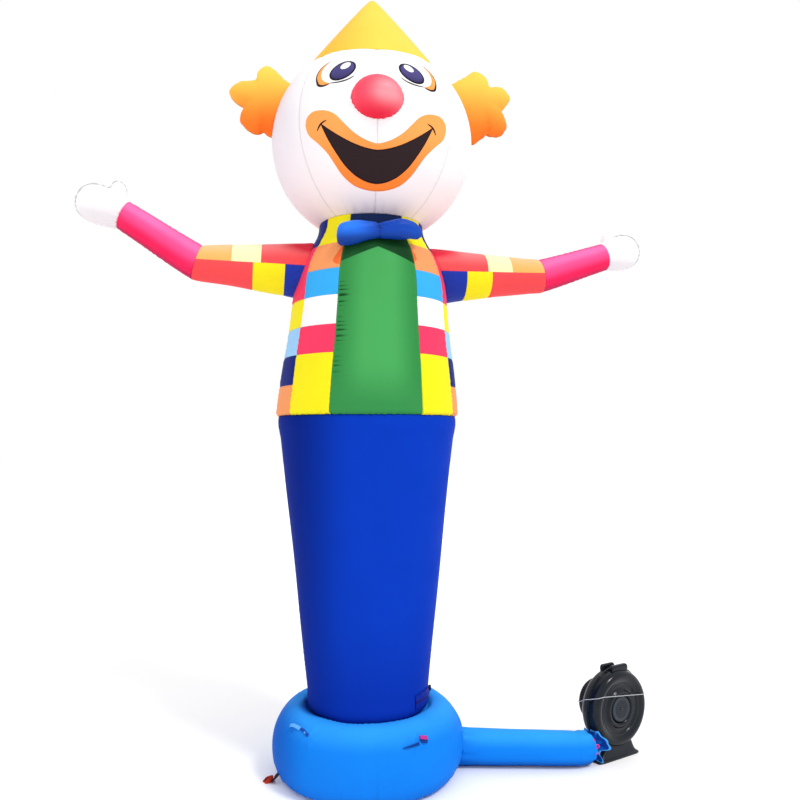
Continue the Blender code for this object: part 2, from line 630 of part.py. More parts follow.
def duct_tie(finish):
    """The magenta tie: a ring of cord round the narrowest pleats."""
    middle, way, radius, pleat = (column[AIR_TIE_ROW * AIR_STEPS] for column in air_line())
    reach = radius + pleat + TIE_BAND_R + 2 * GAP
    turn = np.linspace(0, 2 * np.pi, 6, endpoint=False)
    rings = [[middle + spoke * (reach + TIE_BAND_R * np.cos(a)) + way * TIE_BAND_R * np.sin(a)
              for a in turn] for spoke in circle((0, 0, 0), way, 1.0, 1.0, 24)]
    tube("duct_tie", rings, finish, closed=True)


# ------------------------------------------------------------------ small sewn pieces

def side_radius(radius, degrees):
    """How far out the flat side of a turned piece lies at an angle, between its corners."""
    half = 180.0 / AROUND
    off_middle = np.mod(degrees, 2 * half) - half
    return radius * np.cos(np.radians(half)) / np.cos(np.radians(off_middle))


def ring_point(degrees, height, off):
    """A point of the base ring's side, off its surface by a distance."""
    radii, heights = np.array(RING_ROWS[2:]).T
    radius = side_radius(np.interp(height, heights, radii), degrees)
    slope = (np.interp(height + 0.005, heights, radii)
             - np.interp(height - 0.005, heights, radii)) / 0.010
    normal = unit(facing(degrees) - np.array([0, 0, slope]))
    return facing(degrees) * radius + (0, 0, height) + normal * off, normal


def ring_loop(finish):
    """The blue webbing loop, sewn flat on the ring's shoulder."""
    front, back = [], []
    for degrees, height, off in catmull(LOOP_ROWS, 13):
        middle, normal = ring_point(degrees, height, off)
        across = unit(np.cross(normal, facing(degrees + 90)))
        edge = across * 0.007
        back.append([middle - edge, middle + edge])
        front.append([p + normal * STRAP_THICK for p in back[-1]])
    sheet("ring_loop_blue", front, back, finish)


def ring_tab(finish):
    """The pink tab on the ring's shoulder, that stands off the ring at its lower end."""
    degrees, height, half_wide, half_long, lift = RING_TAB
    middle, normal = ring_point(degrees, height, 0.001)
    across = facing(degrees + 90)
    down = np.cross(normal, across)
    down = down if down[2] < 0 else -down
    front, back = [], []
    for share in (-1.0, 0.0, 1.0):
        row = [middle + across * half_wide * s + down * half_long * share
               + normal * lift * (share + 1) for s in (-1, 0, 1)]
        back.append(row)
        front.append([p + normal * TAB_THICK for p in row])
    sheet("ring_tab_pink", front, back, finish)


def ground_strap(dark, orange):
    """The short dark strap from the ring's foot, and the orange tab at its end on the ground."""
    start, normal = ring_point(*STRAP_FROM, STRAP_OFF)
    end = np.array(STRAP_TO)
    out = unit((end - start) * (1, 1, 0))
    side = np.cross((0, 0, 1), out)
    sag = np.array([0, 0, 0.006])
    path = [start, start * 0.62 + end * 0.38 - sag, start * 0.25 + end * 0.75 - sag, end]
    back = [[p - side * 0.005, p + side * 0.005] for p in path]
    lifts = [normal, unit(out + (0, 0, 1)), unit(out * 0.4 + (0, 0, 1)), (0, 0, 1)]
    front = [[p + np.array(lift) * STRAP_THICK for p in row] for row, lift in zip(back, lifts)]
    sheet("ground_strap", front, back, dark)
    tab_start = (end + out * GAP) * (1, 1, 0)
    top, low = [], []
    for forward, half_wide, high in TAB_ROWS:
        middle = tab_start + out * forward
        row = [middle + side * half_wide * s for s in (-1, 0, 1)]
        low.append(row)
        top.append([p + np.array([0, 0, high * (1.0 if k == 1 else 0.35)]) for k, p in enumerate(row)])
    sheet("ground_tab_orange", top, low, orange)


def leg_radius(height):
    """The leg's radius at a height."""
    radii, heights = np.array(LEG_ROWS[1:]).T
    return np.interp(height, heights, radii)


def leg_patch(finish):
    """The dark zip vent on the leg's lower right, and its puller at the far end."""
    left, right, low, high = VENT_PATCH
    angles = np.linspace(left, right, VENT_STEPS[0] + 1)
    rows = [(leg_radius(z), z) for z in np.linspace(low, high, VENT_STEPS[1] + 1)]
    front = leaned(turned(rows, angles, SEWN_OFF + VENT_THICK))
    back = leaned(turned(rows, angles, SEWN_OFF))
    sheet("vent_patch", front, back, finish)
    degrees, height = PULLER_AT
    out, side = facing(degrees), facing(degrees + 90)
    root = out * (side_radius(leg_radius(height), degrees) + PULLER_OFF) + (0, 0, height)
    rings = [[root + out * off + side * s * wide + np.array([0, 0, u * high])
              for s, u in ((-1, -1), (1, -1), (1, 1), (-1, 1))] for off, wide, high in PULLER_ROWS]
    tube("vent_puller", rings, finish)


def main():
    """Clear the scene and make every piece."""
    for thing in list(bpy.data.objects):
        bpy.data.objects.remove(thing)
    azure = material("azure cloth", (0.012, 0.27, 0.93))
    royal = material("royal blue cloth", (0.010, 0.065, 0.52))
    patch = material("patchwork cloth", (0.98, 0.78, 0.03))
    green = material("green cloth", (0.035, 0.33, 0.075))
    white = material("white cloth", (0.93, 0.90, 0.92))
    pink = material("pink cloth", (0.95, 0.07, 0.26))
    orange = material("orange cloth", (0.98, 0.33, 0.035))
    yellow = material("yellow cloth", (0.99, 0.62, 0.08))
    red = material("red cloth", (0.90, 0.035, 0.09))
    tie_blue = material("tie blue cloth", (0.02, 0.16, 0.80))
    black = material("black plastic", (0.012, 0.013, 0.016), 0.32)
    grey = material("grey plastic", (0.10, 0.10, 0.11), 0.6)
    dark = material("dark webbing", (0.02, 0.02, 0.05), 0.8)

    base_ring(azure)
    leg_column(royal)
    torso_coat(patch)
    vest_panel(green)
    head_solid("head_ball", white)
    nose(red)
    for name in TUFTS:
        hair_tuft(name, orange)
    hat_cone(yellow)
    for side in ARMS:
        sleeve(side, patch)
        forearm(side, pink)
        mitten(side, white)
    bow_tie(tie_blue)
    air_duct(azure)
    stand = blower_stand()
    gathered_end(azure, stand)
    duct_tie(pink)
    blower(black, grey, stand)
    around_cord(grey, stand)
    ring_loop(azure)
    ring_tab(pink)
    ground_strap(dark, orange)
    leg_patch(dark)


main()
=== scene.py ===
# %% [markdown]
# # An inflatable air dancer, dressed for the render
#
# A clown sewn from thin nylon stands on a blown-up ring and is held up by a blower that pushes
# air through a cloth duct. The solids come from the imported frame; here each gets its real
# surface. Everything is in metres, and the figure faces -Y.

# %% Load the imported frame
import bmesh
import bpy
import numpy as np
from numpy import (arange, array, broadcast_to, clip, column_stack, concatenate, cos, cross, diff,
                   exp, hypot, interp, linspace, maximum, minimum, pi, radians, sin, stack)
from numpy.linalg import norm
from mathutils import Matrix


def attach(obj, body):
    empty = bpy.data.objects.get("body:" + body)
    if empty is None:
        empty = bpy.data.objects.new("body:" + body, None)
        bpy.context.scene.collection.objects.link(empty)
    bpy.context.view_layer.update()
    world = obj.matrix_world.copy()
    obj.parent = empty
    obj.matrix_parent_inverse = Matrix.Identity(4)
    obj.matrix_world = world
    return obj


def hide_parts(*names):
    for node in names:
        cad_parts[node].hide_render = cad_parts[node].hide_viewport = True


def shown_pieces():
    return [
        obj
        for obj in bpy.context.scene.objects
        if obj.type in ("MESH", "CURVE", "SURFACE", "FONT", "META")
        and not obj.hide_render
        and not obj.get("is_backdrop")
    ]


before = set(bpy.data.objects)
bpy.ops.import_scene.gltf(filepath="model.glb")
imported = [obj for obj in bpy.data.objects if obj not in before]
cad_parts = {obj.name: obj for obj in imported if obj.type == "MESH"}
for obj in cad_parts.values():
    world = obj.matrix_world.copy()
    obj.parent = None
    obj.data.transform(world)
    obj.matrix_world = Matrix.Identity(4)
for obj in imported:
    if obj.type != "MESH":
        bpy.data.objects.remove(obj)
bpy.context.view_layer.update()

# %% [markdown]
# ## Camera
#
# The picture is taken from eye height, a little to the figure's right hand, with the camera
# tipped up by three degrees: the ring's top is seen from above and the head from below.

# %% The camera
def placed(name, data):
    """A new object in the scene."""
    thing = bpy.data.objects.new(name, data)
    bpy.context.scene.collection.objects.link(thing)
    return thing


camera = placed("camera", bpy.data.cameras.new("camera"))
camera.location = (-.3596, -3.3739, 1.465)
camera.rotation_euler = radians((92.92, 0.0, -8.5))
camera.data.sensor_width, camera.data.lens = 36.0, 33.525
bpy.context.scene.camera = camera
print("camera at", tuple(round(n, 3) for n in camera.location), "lens", round(camera.data.lens, 2))

# %% [markdown]
# ## Light and floor
#
# A broad sun from the upper right shades the tubes softly, and a white world fills the shadows,
# as a bright sky does. The Standard view keeps the cloth's strong colours.

# %% World, sun and floor
SUN_STRENGTH, SKY_STRENGTH, PLAIN_WHITE = 1.25, 1.0, (1.0, 1.0, 1.0, 1.0)

world = bpy.context.scene.world = bpy.data.worlds.new("pale surroundings")
world.use_nodes = True
sky = world.node_tree.nodes["Background"].inputs
sky["Color"].default_value, sky["Strength"].default_value = PLAIN_WHITE, SKY_STRENGTH
bpy.context.scene.view_settings.view_transform = "Standard"

for name, strength, size, turn in (("sun", SUN_STRENGTH, 12, (38, 8, 28)),
                                   ("fill", .15, 60, (62, 0, -50))):
    lamp = placed(name, bpy.data.lights.new(name, "SUN"))
    lamp.rotation_euler = radians(turn)
    lamp.data.energy, lamp.data.angle = strength, radians(size)

floor = placed("floor", bpy.data.meshes.new("floor"))
floor.data.from_pydata([(-40, -40, 0), (40, -40, 0), (40, 40, 0), (-40, 40, 0)], [], [(0, 1, 2, 3)])
floor_finish = bpy.data.materials.new("pale floor")
floor_finish.use_nodes = True
floor_shader = floor_finish.node_tree.nodes["Principled BSDF"].inputs
floor_shader["Base Color"].default_value, floor_shader["Roughness"].default_value = PLAIN_WHITE, .9
floor.data.materials.append(floor_finish)
floor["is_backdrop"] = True
print("sun", SUN_STRENGTH, "sky", SKY_STRENGTH)

# %% [markdown]
# ## Curves through rows of sizes
#
# A maker notes a pattern as rows of sizes: at this height, this radius. Between the rows the
# cloth runs smoothly, and `smooth_line` is that run.

# %% A smooth run through rows of sizes
def run_along(rows):
    """How far along each row lies; a step between two rows of a grid is its columns' mean."""
    steps = norm(diff(rows, axis=0), axis=-1)
    return np.append(0.0, np.cumsum(steps.mean(axis=1) if steps.ndim == 2 else steps))


def smooth_line(rows, places=None, step=None, measure=2):
    """Carry rows of sizes along one smooth curve.

    Places are lengths along the straight run through the rows, in the first `measure` columns.
    A row's slope is the mean of those beside it, the nearer one counting more, and between two
    rows runs the cubic with their slopes.
    """
    table = array(rows, float)
    run = run_along(table[:, :measure])
    gaps = diff(run)
    slopes = diff(table, axis=0) / gaps[:, None]
    inner = ((slopes[:-1] * gaps[1:, None] + slopes[1:] * gaps[:-1, None])
             / (gaps[:-1] + gaps[1:])[:, None])
    slope = np.vstack([slopes[:1], inner, slopes[-1:]])
    if places is None:
        places = linspace(0, run[-1], int(round(run[-1] / step)) + 1)
    k = clip(np.searchsorted(run, places, side="right") - 1, 0, len(gaps) - 1)
    t, g = ((places - run[k]) / gaps[k])[:, None], gaps[k][:, None]
    return ((2 * t**3 - 3 * t**2 + 1) * table[k] + (t**3 - 2 * t**2 + t) * g * slope[k]
            + (3 * t**2 - 2 * t**3) * table[k + 1] + (t**3 - t**2) * g * slope[k + 1])


def by_height(rows, heights):
    """The smooth radius at some heights, from rows of radius and height."""
    fine = smooth_line(rows, step=0.001)
    return interp(heights, fine[:, 1], fine[:, 0])


def samples(low, high, step, seams=(), near=(), turn=False):
    """Even places from low to high, with extra places on each seam and a little beside it."""
    even = linspace(low, high, int(round((high - low) / step)) + 1)
    beside = array([0.0, *near, *(-n for n in near)])
    extra = (array(seams, float)[:, None] + beside).ravel()
    if turn:
        extra = (extra - low) % (high - low) + low
    clear = array([not len(extra) or abs(extra - place).min() > step * 0.3 for place in even])
    clear[[0, -1]] = True
    kept = concatenate([even[clear], extra[(extra > low) & (extra < high)]])
    kept = np.unique(np.round(kept, 6))
    return kept[:-1] if turn else kept


def full_turn(count):
    """Even angles round a circle, in radians."""
    return linspace(0, 2 * pi, count, endpoint=False)


print("smooth line of three rows:", smooth_line([(0, 0), (1, 1), (2, 0)], step=0.9)[:, 1].round(2))

# %% [markdown]
# ## From a grid of points to a mesh
#
# Every new piece is a grid: rows along it, columns round it. Neighbours become quads, and an
# end is closed by a fan to one point. The mesh gets a UV map in metres, so that a weave has its
# true size, and two numbers at each point: how far its seam is, and the run along that seam.

# %% Meshes from grids
def grid_quads(rows, columns, ring):
    """Corner numbers of the quads of a grid, and each corner's place in the grid."""
    i, j = np.meshgrid(arange(rows - 1), arange(columns if ring else columns - 1), indexing="ij")
    place = stack([stack([i + a, j + b], -1) for a, b in ((0, 0), (0, 1), (1, 1), (1, 0))], axis=-2)
    place = place.reshape(-1, 4, 2)
    return place[..., 0] * columns + place[..., 1] % columns, place


def end_fans(rows, columns):
    """Triangles from a grid's first and last ring to the two points after the grid's own."""
    j, size = arange(columns), rows * columns
    after, tip = (j + 1) % columns, np.full(columns, size)
    return (stack([tip, after, j], axis=1),
            stack([size - columns + j, size - columns + after, tip + 1], axis=1))


def signed_volume(points, faces):
    """Six times the volume that faces enclose, above zero where they point outwards."""
    a, *rest = points[faces].swapaxes(0, 1)
    return sum((a * cross(b, c)).sum() for b, c in zip(rest, rest[1:]))


def keep_mark(mesh, title, values):
    """Keep a number at each of a mesh's points."""
    mark = mesh.attributes.new(title, "FLOAT", "POINT")
    mark.data.foreach_set("value", np.asarray(values, np.float32).ravel())


def write_mesh(name, points, groups, finishes, marks=None, smooth=True):
    """An object from points and groups of (faces, uv of each corner, material number of each)."""
    middle = points.mean(axis=0)
    if sum(signed_volume(points - middle, faces) for faces, _, _ in groups) < 0:
        groups = [(faces[:, ::-1], uv[:, ::-1], number) for faces, uv, number in groups]
    mesh = bpy.data.meshes.new(name)
    mesh.from_pydata(points, [], [face for faces, _, _ in groups for face in faces.tolist()])
    mesh.polygons.foreach_set("material_index", concatenate([n for _, _, n in groups]))
    mesh.polygons.foreach_set("use_smooth", np.full(len(mesh.polygons), smooth))
    uv_map = mesh.uv_layers.new(name="metres")
    uv_map.data.foreach_set("uv", concatenate([uv.reshape(-1) for _, uv, _ in groups]))
    for title, values in (marks or {}).items():
        keep_mark(mesh, title, values)
    for finish in finishes:
        mesh.materials.append(finish)
    return placed(name, mesh)


def grid_marks(grid, gap, run, more):
    """What is kept at a grid's points: how far its seam is, the run along it, and more."""
    return {title: broadcast_to(values, grid.shape[:2]).ravel()
            for title, values in {"seam_gap": gap, "seam_run": run, **more}.items()}


def skin(name, grid, finishes, tips=(None, None), numbers=0, gap=1.0, run=0.0, closed=False,
         **more):
    """A closed piece from rings of points: a fan to a tip at each end, or joined end to end."""
    own = grid
    grid = concatenate([grid, grid[:1]]) if closed else grid
    rows, columns = grid.shape[:2]
    u, v = run_along(concatenate([grid, grid[:, :1]], axis=1).swapaxes(0, 1)), run_along(grid)
    quads, place = grid_quads(rows, columns, True)
    numbers = broadcast_to(numbers, (rows - 1, columns)).ravel()
    points, marks = own.reshape(-1, 3), grid_marks(own, gap, run, more)
    groups = [(quads % len(points), stack([u[place[..., 1]], v[place[..., 0]]], -1), numbers)]
    if not closed:
        ends = [ring.mean(axis=0) if tip is None else tip for ring, tip in zip(grid[[0, -1]], tips)]
        for end, fan in enumerate(end_fans(rows, columns)):
            corners = stack([column_stack([x, broadcast_to(v[-end] + up, len(x))]) for x, up in (
                (u[:-1], 0), (u[1:], 0), (u[:-1], .01))], axis=1)
            groups.append((fan, corners if end else corners[:, ::-1],
                           numbers.reshape(rows - 1, columns)[-end]))
        points = concatenate([points, array(ends, float)])
        marks = {title: np.append(values, values[[0, -1]]) for title, values in marks.items()}
    return write_mesh(name, points, groups, finishes, marks)


def leaf(name, front, back, finishes, numbers=0, gap=1.0, run=0.0, **more):
    """A thin closed piece between two facing grids of points, with its rim closed."""
    rows, columns = front.shape[:2]
    far = rows * columns
    quads, place = grid_quads(rows, columns, False)
    u, v = run_along(front.swapaxes(0, 1)), run_along(front)
    uv = stack([u[place[..., 1]], v[place[..., 0]]], axis=-1)
    numbers = broadcast_to(numbers, (rows - 1, columns - 1)).ravel()
    rim = concatenate([arange(columns), arange(2, rows + 1) * columns - 1,
                       (rows - 1) * columns + arange(columns - 2, -1, -1),
                       arange(rows - 2, 0, -1) * columns])
    after = np.roll(rim, -1)
    edge = stack([after, rim, rim + far, after + far], axis=1)
    groups = [(quads, uv, numbers), (quads[:, ::-1] + far, uv[:, ::-1], numbers),
              (edge, np.zeros((len(edge), 4, 2)), np.zeros(len(edge), int))]
    marks = grid_marks(front, gap, run, more)
    return write_mesh(name, concatenate([front.reshape(-1, 3), back.reshape(-1, 3)]), groups,
                      finishes, {title: np.tile(values, 2) for title, values in marks.items()})


def count_of(thing):
    """How many triangles an object's mesh has."""
    thing.data.calc_loop_triangles()
    return len(thing.data.loop_triangles)


def dress(piece, slot, *nodes, fill=None):
    """Put a piece on the root, hide the CAD nodes that it replaces, and print its triangles; slot
    and fill are not used.
    """
    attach(piece, "root")
    if nodes:
        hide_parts(*nodes)
    print(f"{piece.name}: {count_of(piece)} triangles")
    return piece


# %% [markdown]
# ## Gathers and grooves
#
# Where two panels are sewn, the thread draws the cloth in: a narrow groove along the seam, and
# short gathers across it. Both are heights that depend only on a point's gap and run.

# %% Heights beside a seam
def groove(gap, depth=0.0016, width=0.005):
    """A dent along a seam: minus depth times exp(-(gap / width) squared)."""
    return -depth * exp(-(gap / width) ** 2)


def gathers(gap, run, high, reach, pitch, seed=0.0):
    """Ripples across a seam: a sine of the run that wanders, dying away over the reach."""
    wander = 1.2 * sin(run / pitch * 1.7 + seed) + 0.8 * sin(run / pitch * 0.61 + 2.1 * seed)
    strong = 0.6 + 0.4 * sin(run / pitch * 0.83 + 3.3 * seed)
    return high * strong * exp(-(gap / reach) ** 2) * sin(2 * pi * run / pitch + wander)


def all_gathers(*rows):
    """The sum of the gathers of several seams, each given as gathers' own values."""
    return sum(gathers(*row) for row in rows)


def soft_swell(u, v, high, size, seed=0.0):
    """Broad unevenness of blown-up cloth: three slow waves that cross."""
    a, b = u / size, v / size
    return high * (sin(2.1 * a + 1.3 * b + seed) + sin(-1.1 * a + 2.7 * b + 2.3 * seed)
                   + sin(3.7 * a - 0.9 * b + 4.1 * seed)) / 3


# %% [markdown]
# ## Cloth finishes
#
# The cloth is coated nylon: a fine plain weave, a low satin gloss, and thread along each seam.
# Weave and stitches are node groups, shared by every cloth. The weave lies on the UV map, or in
# space on a piece that was blown up and has none. A cloth can turn to other colours along an
# axis, or along a number kept at the mesh's points; mostly these ramps are painted light and
# shade: lighter tops, darker sides and undersides, painted shadows and darker creases.

# %% Shader helpers
def put(tree, socket, value):
    """Link a node's output into an input, or write a number or a colour there."""
    if isinstance(value, bpy.types.NodeSocket):
        tree.links.new(value, socket)
    else:
        socket.default_value = (*value, 1.0) if isinstance(value, tuple) else value


def node(tree, kind, out, inputs, **settings):
    """A new shader node with its settings and inputs; one of its outputs, or the node itself."""
    made = tree.nodes.new("ShaderNode" + kind)
    for title, value in settings.items():
        setattr(made, title, value)
    for title, value in inputs.items():
        put(tree, made.inputs[title], value)
    return made if out is None else made.outputs[out]


def math(tree, operation, *values):
    """A Math node on outputs or numbers."""
    return node(tree, "Math", 0, dict(enumerate(values)), operation=operation)


def times(tree, a, b):
    """One value times another."""
    return math(tree, "MULTIPLY", a, b)


def named(tree, title):
    """The value of one of the mesh's own attributes."""
    return node(tree, "Attribute", "Fac", {}, attribute_name=title)


def noise(tree, where, scale, detail=3.0, rough=0.5):
    """A noise texture's value at some coordinates."""
    return node(tree, "TexNoise", "Fac",
                {"Vector": where, "Scale": scale, "Detail": detail, "Roughness": rough})


def spread(tree, value, low, high, new_low=0.0, new_high=1.0):
    """A Map Range node: low to high becomes new_low to new_high."""
    return node(tree, "MapRange", "Result", {
        "Value": value, "From Min": low, "From Max": high, "To Min": new_low,
        "To Max": new_high}, interpolation_type="SMOOTHSTEP")


def mixed(tree, amount, a, b):
    """A colour mix of outputs or colours."""
    return node(tree, "Mix", 2, {0: amount, 6: a, 7: b}, data_type="RGBA")


def new_group(name, gives, **wants):
    """An empty shader group: float outputs, and inputs that are vectors where no number is."""
    group = bpy.data.node_groups.new(name, "ShaderNodeTree")
    for title, value in wants.items():
        kind = "NodeSocketVector" if value is None else "NodeSocketFloat"
        socket = group.interface.new_socket(title, in_out="INPUT", socket_type=kind)
        if value is not None:
            socket.default_value = value
    for title in gives:
        group.interface.new_socket(title, in_out="OUTPUT", socket_type="NodeSocketFloat")
    want, give = (group.nodes.new("NodeGroup" + kind) for kind in ("Input", "Output"))
    return group, want.outputs, give.inputs


def new_finish(name):
    """A new material, its tree, and its coordinates on the object and on the UV map."""
    made = bpy.data.materials.new(name)
    made.use_nodes = True
    where = node(made.node_tree, "TexCoord", None, {}).outputs
    return made, made.node_tree, where["Object"], where["UV"]


def end_finish(made, base, rough, shine, height, strength, distance):
    """Give a material its colour, roughness, shine, and a bump of some height."""
    tree = made.node_tree
    bump = node(tree, "Bump", "Normal",
                {"Height": height, "Strength": strength, "Distance": distance})
    for title, value in (("Base Color", base), ("Roughness", rough), ("Normal", bump),
                         ("Specular IOR Level", shine)):
        put(tree, tree.nodes["Principled BSDF"].inputs[title], value)
    return made


def shade(colour, share, more=0.0):
    """A colour times a share and a little more, one at most."""
    return tuple(min(1.0, share * c + more) for c in colour)


# %% The weave and the stitches
def weave_group():
    """Plain weave: a wave across times a wave along, and the slow slub of the yarn."""
    group, want, give = new_group("plain_weave", ("Height", "Slub"), Vector=None, Threads=900.0)
    part = node(group, "SeparateXYZ", None, {0: want["Vector"]}).outputs
    waves = [math(group, "SINE", times(group, times(group, part[k], want["Threads"]), 2 * pi))
             for k in (0, 1)]
    put(group, give["Height"], math(group, "MULTIPLY_ADD", times(group, *waves), .5, .5))
    put(group, give["Slub"], noise(group, want["Vector"], 60.0, 4.0))
    return group


def stitch_group():
    """Stitches: dashes of the run, in two rows beside the seam, and the seam's own fold."""
    group, want, give = new_group("seam_stitches", ("Thread", "Fold"), Gap=1.0, Run=0.0,
                                  Pitch=0.0045)
    off = math(group, "ABSOLUTE", math(group, "SUBTRACT", want["Gap"], .005))
    row = spread(group, off, .0004, .001, 1.0, 0.0)
    dash = math(group, "FRACT", math(group, "DIVIDE", want["Run"], want["Pitch"]))
    dash = spread(group, math(group, "ABSOLUTE", math(group, "SUBTRACT", dash, .5)), .28, .38,
                  1.0, 0.0)
    put(group, give["Thread"], times(group, row, dash))
    put(group, give["Fold"], spread(group, want["Gap"], 0.0, .0036, 1.0, 0.0))
    return group


WEAVE, STITCHES = weave_group(), stitch_group()
print("shader groups:", WEAVE.name, STITCHES.name)

# %% A cloth from its colours
def cloth(name, colour, colour_ramps=(), rim=None, thread=None, seams=0.35, rough=0.52, shine=0.05,
          on_uv=True):
    """A coated nylon: its colour, and what changes it.

    A colour ramp is (measure, from, to, colour): along an object axis or one of the mesh's
    attributes the cloth turns to that colour; most ramps are painted light and shade. A rim is
    (reach, colour, strength), painted shade beside the seams, and seams is how dark the stitched
    fold is.
    """
    made, tree, where, uv = new_finish(name)
    part = node(tree, "SeparateXYZ", None, {0: where}).outputs
    weave = node(tree, "Group", None, {}, node_tree=WEAVE)
    put(tree, weave.inputs["Vector"], uv if on_uv else where)
    height, slub = weave.outputs
    seam_gap = named(tree, "seam_gap")
    stitches = node(tree, "Group", None, {"Gap": seam_gap, "Run": named(tree, "seam_run")},
                    node_tree=STITCHES)
    stitch, fold = stitches.outputs
    base, deep = colour, shade(colour, .72)
    # Each ramp mixes in its colour; most are painted light and shade.
    for measure, low, high, other in colour_ramps:
        value = part[measure] if measure in "XYZ" else named(tree, measure)
        base = mixed(tree, spread(tree, value, low, high), base, other)
    uneven = noise(tree, where, 7.0)
    base = mixed(tree, spread(tree, uneven, .35, .75, 0.0, .16), base, deep)
    # Painted light: the weave's raised threads are a tenth lighter than its valleys.
    base = mixed(tree, spread(tree, height, 0.0, 1.0, 0.0, .1), base, shade(colour, 1.12, .01))
    # Painted shade: the rim darkens the cloth in a band beside its seams.
    if rim:
        base = mixed(tree, spread(tree, seam_gap, 0.0, rim[0], rim[2], 0.0), base, rim[1])
    base = mixed(tree, times(tree, fold, seams), base, shade(deep, .4))
    base = mixed(tree, times(tree, stitch, .7), base, thread or shade(colour, 1.2, .012))
    rough = math(tree, "ADD", spread(tree, uneven, .3, .8, rough - 0.05, rough + 0.06),
                 times(tree, slub, .06))
    high = math(tree, "ADD", times(tree, height, .00005), times(tree, stitch, .0006))
    high = math(tree, "ADD", high, times(tree, slub, .00012))
    return end_finish(made, base, rough, shine, high, .6, 1.0)


YELLOW, ORANGE, RED = (.82, .72, .011), (.82, .295, .11), (.83, .042, .115)
NAVY, SKY, WHITE = (.005, .014, .165), (.035, .37, .8), (.84, .84, .87)
LEMON, PALE_SKY = (.84, .8, .43), (.3, .56, .86)
print("cloth colours: eight for the patchwork")

# %% [markdown]
# ## Turned panels
#
# Ring, leg and coat are tubes about one upright axis, a little askew because only air holds it.
# Each is a profile of radius and height carried round, its points lifted along its normal.

# %% A profile carried round the figure's axis
LEAN_ROWS = array([         # height, shift along X
    (0.0, 0.0), (.4, 0.0), (1.55, -.006), (2.1, .006), (2.8, .013), (3.6, .013)])
UP = array([0, 0, 1.0])


def unit(vector):
    """A vector, or each row of an array, scaled to length one."""
    vector = np.asarray(vector, float)
    return vector / norm(vector, axis=-1, keepdims=True)


def turned(profile, angles, lift=0.0):
    """Rings about the axis at angles in degrees from -Y towards +X.

    A point is (r sin a + lean, -r cos a, z), moved by the lift along the profile's normal.
    """
    way, turn = unit(np.gradient(profile, axis=0)), radians(angles)
    lift = broadcast_to(lift, (len(profile), len(angles)))
    r = profile[:, :1] + lift * way[:, 1:]
    z = profile[:, 1:] - lift * way[:, :1]
    return stack([r * sin(turn) + interp(z, *LEAN_ROWS.T), -r * cos(turn), z], axis=-1)


def nearest(places, seams, turn=None):
    """How far each place is from the nearest seam, also across the end of a full turn."""
    off = abs(np.asarray(places)[..., None] - np.asarray(seams))
    if turn:
        off = minimum(off, turn - off)
    return off.min(axis=-1)


def round_gap(angles, seams, radius):
    """How far round a tube, in metres, each angle is from the nearest seam along it."""
    return radians(nearest(angles, seams, 360.0)) * radius


# %% [markdown]
# ## The base ring
#
# A fat tube of azure nylon, so full that it overhangs its own foot, with three upright seams
# behind. It crumples where it meets the ground, where the leg's seam draws its top in, and
# round each thing sewn to it.

# %% Base ring
SEAT_Z, GAP = 0.278, .0003
RING_ROWS = [               # radius, height
    (.345, .000), (.385, .016), (.407, .055), (.416, .1), (.418, .145),
    (.411, .195), (.392, .24), (.358, .279), (.318, .301), (.286, .3), (.264, SEAT_Z)]
RING_SEAMS = (122.0, 180.0, 238.0)
RING_PULLS = (              # degrees, height, reach, depth: where something sewn on pulls the cloth
    (-64, .262, .03, .003), (-45, .255, .034, .0032), (22, .236, .04, .0035),
    (29, .25, .03, .003), (82, .15, .06, .006), (86, .02, .07, .006))
RING_MEAN_R = 0.41
LEG_SHADE_AT, LEG_SHADE_HALF = -72.0, 40.0     # where shade is painted on the ring's top beside the leg, in degrees
# Painted light and shade: the ring lighter on top, darker near the ground and on its left side, and
# painted shade on its top beside the leg.
azure = cloth("azure nylon", (.006, .192, .74), [
    ("Z", .215, .3, (.026, .32, .88)), ("Z", .09, .000, (.006, .15, .62)),
    ("X", -.26, -.42, (.001, .084, .46)), ("tuck", .1, .9, (.002, .06, .36))],
    shine=0.02)


def pulls(round_it, along, reach, deep, rays=5):
    """Folds that run out from a point: sin(rays times the angle), dying away over the reach."""
    away = hypot(round_it, along)
    folds = sin(rays * np.arctan2(along, round_it) + 1.1)
    return deep * folds * (away / reach) * exp(-(away / reach) ** 2) * 2


def off_angle(angles, middle):
    """How far angles are from a middle, from -180 to 180 degrees."""
    return ((angles - middle + 180) % 360 - 180)[None]


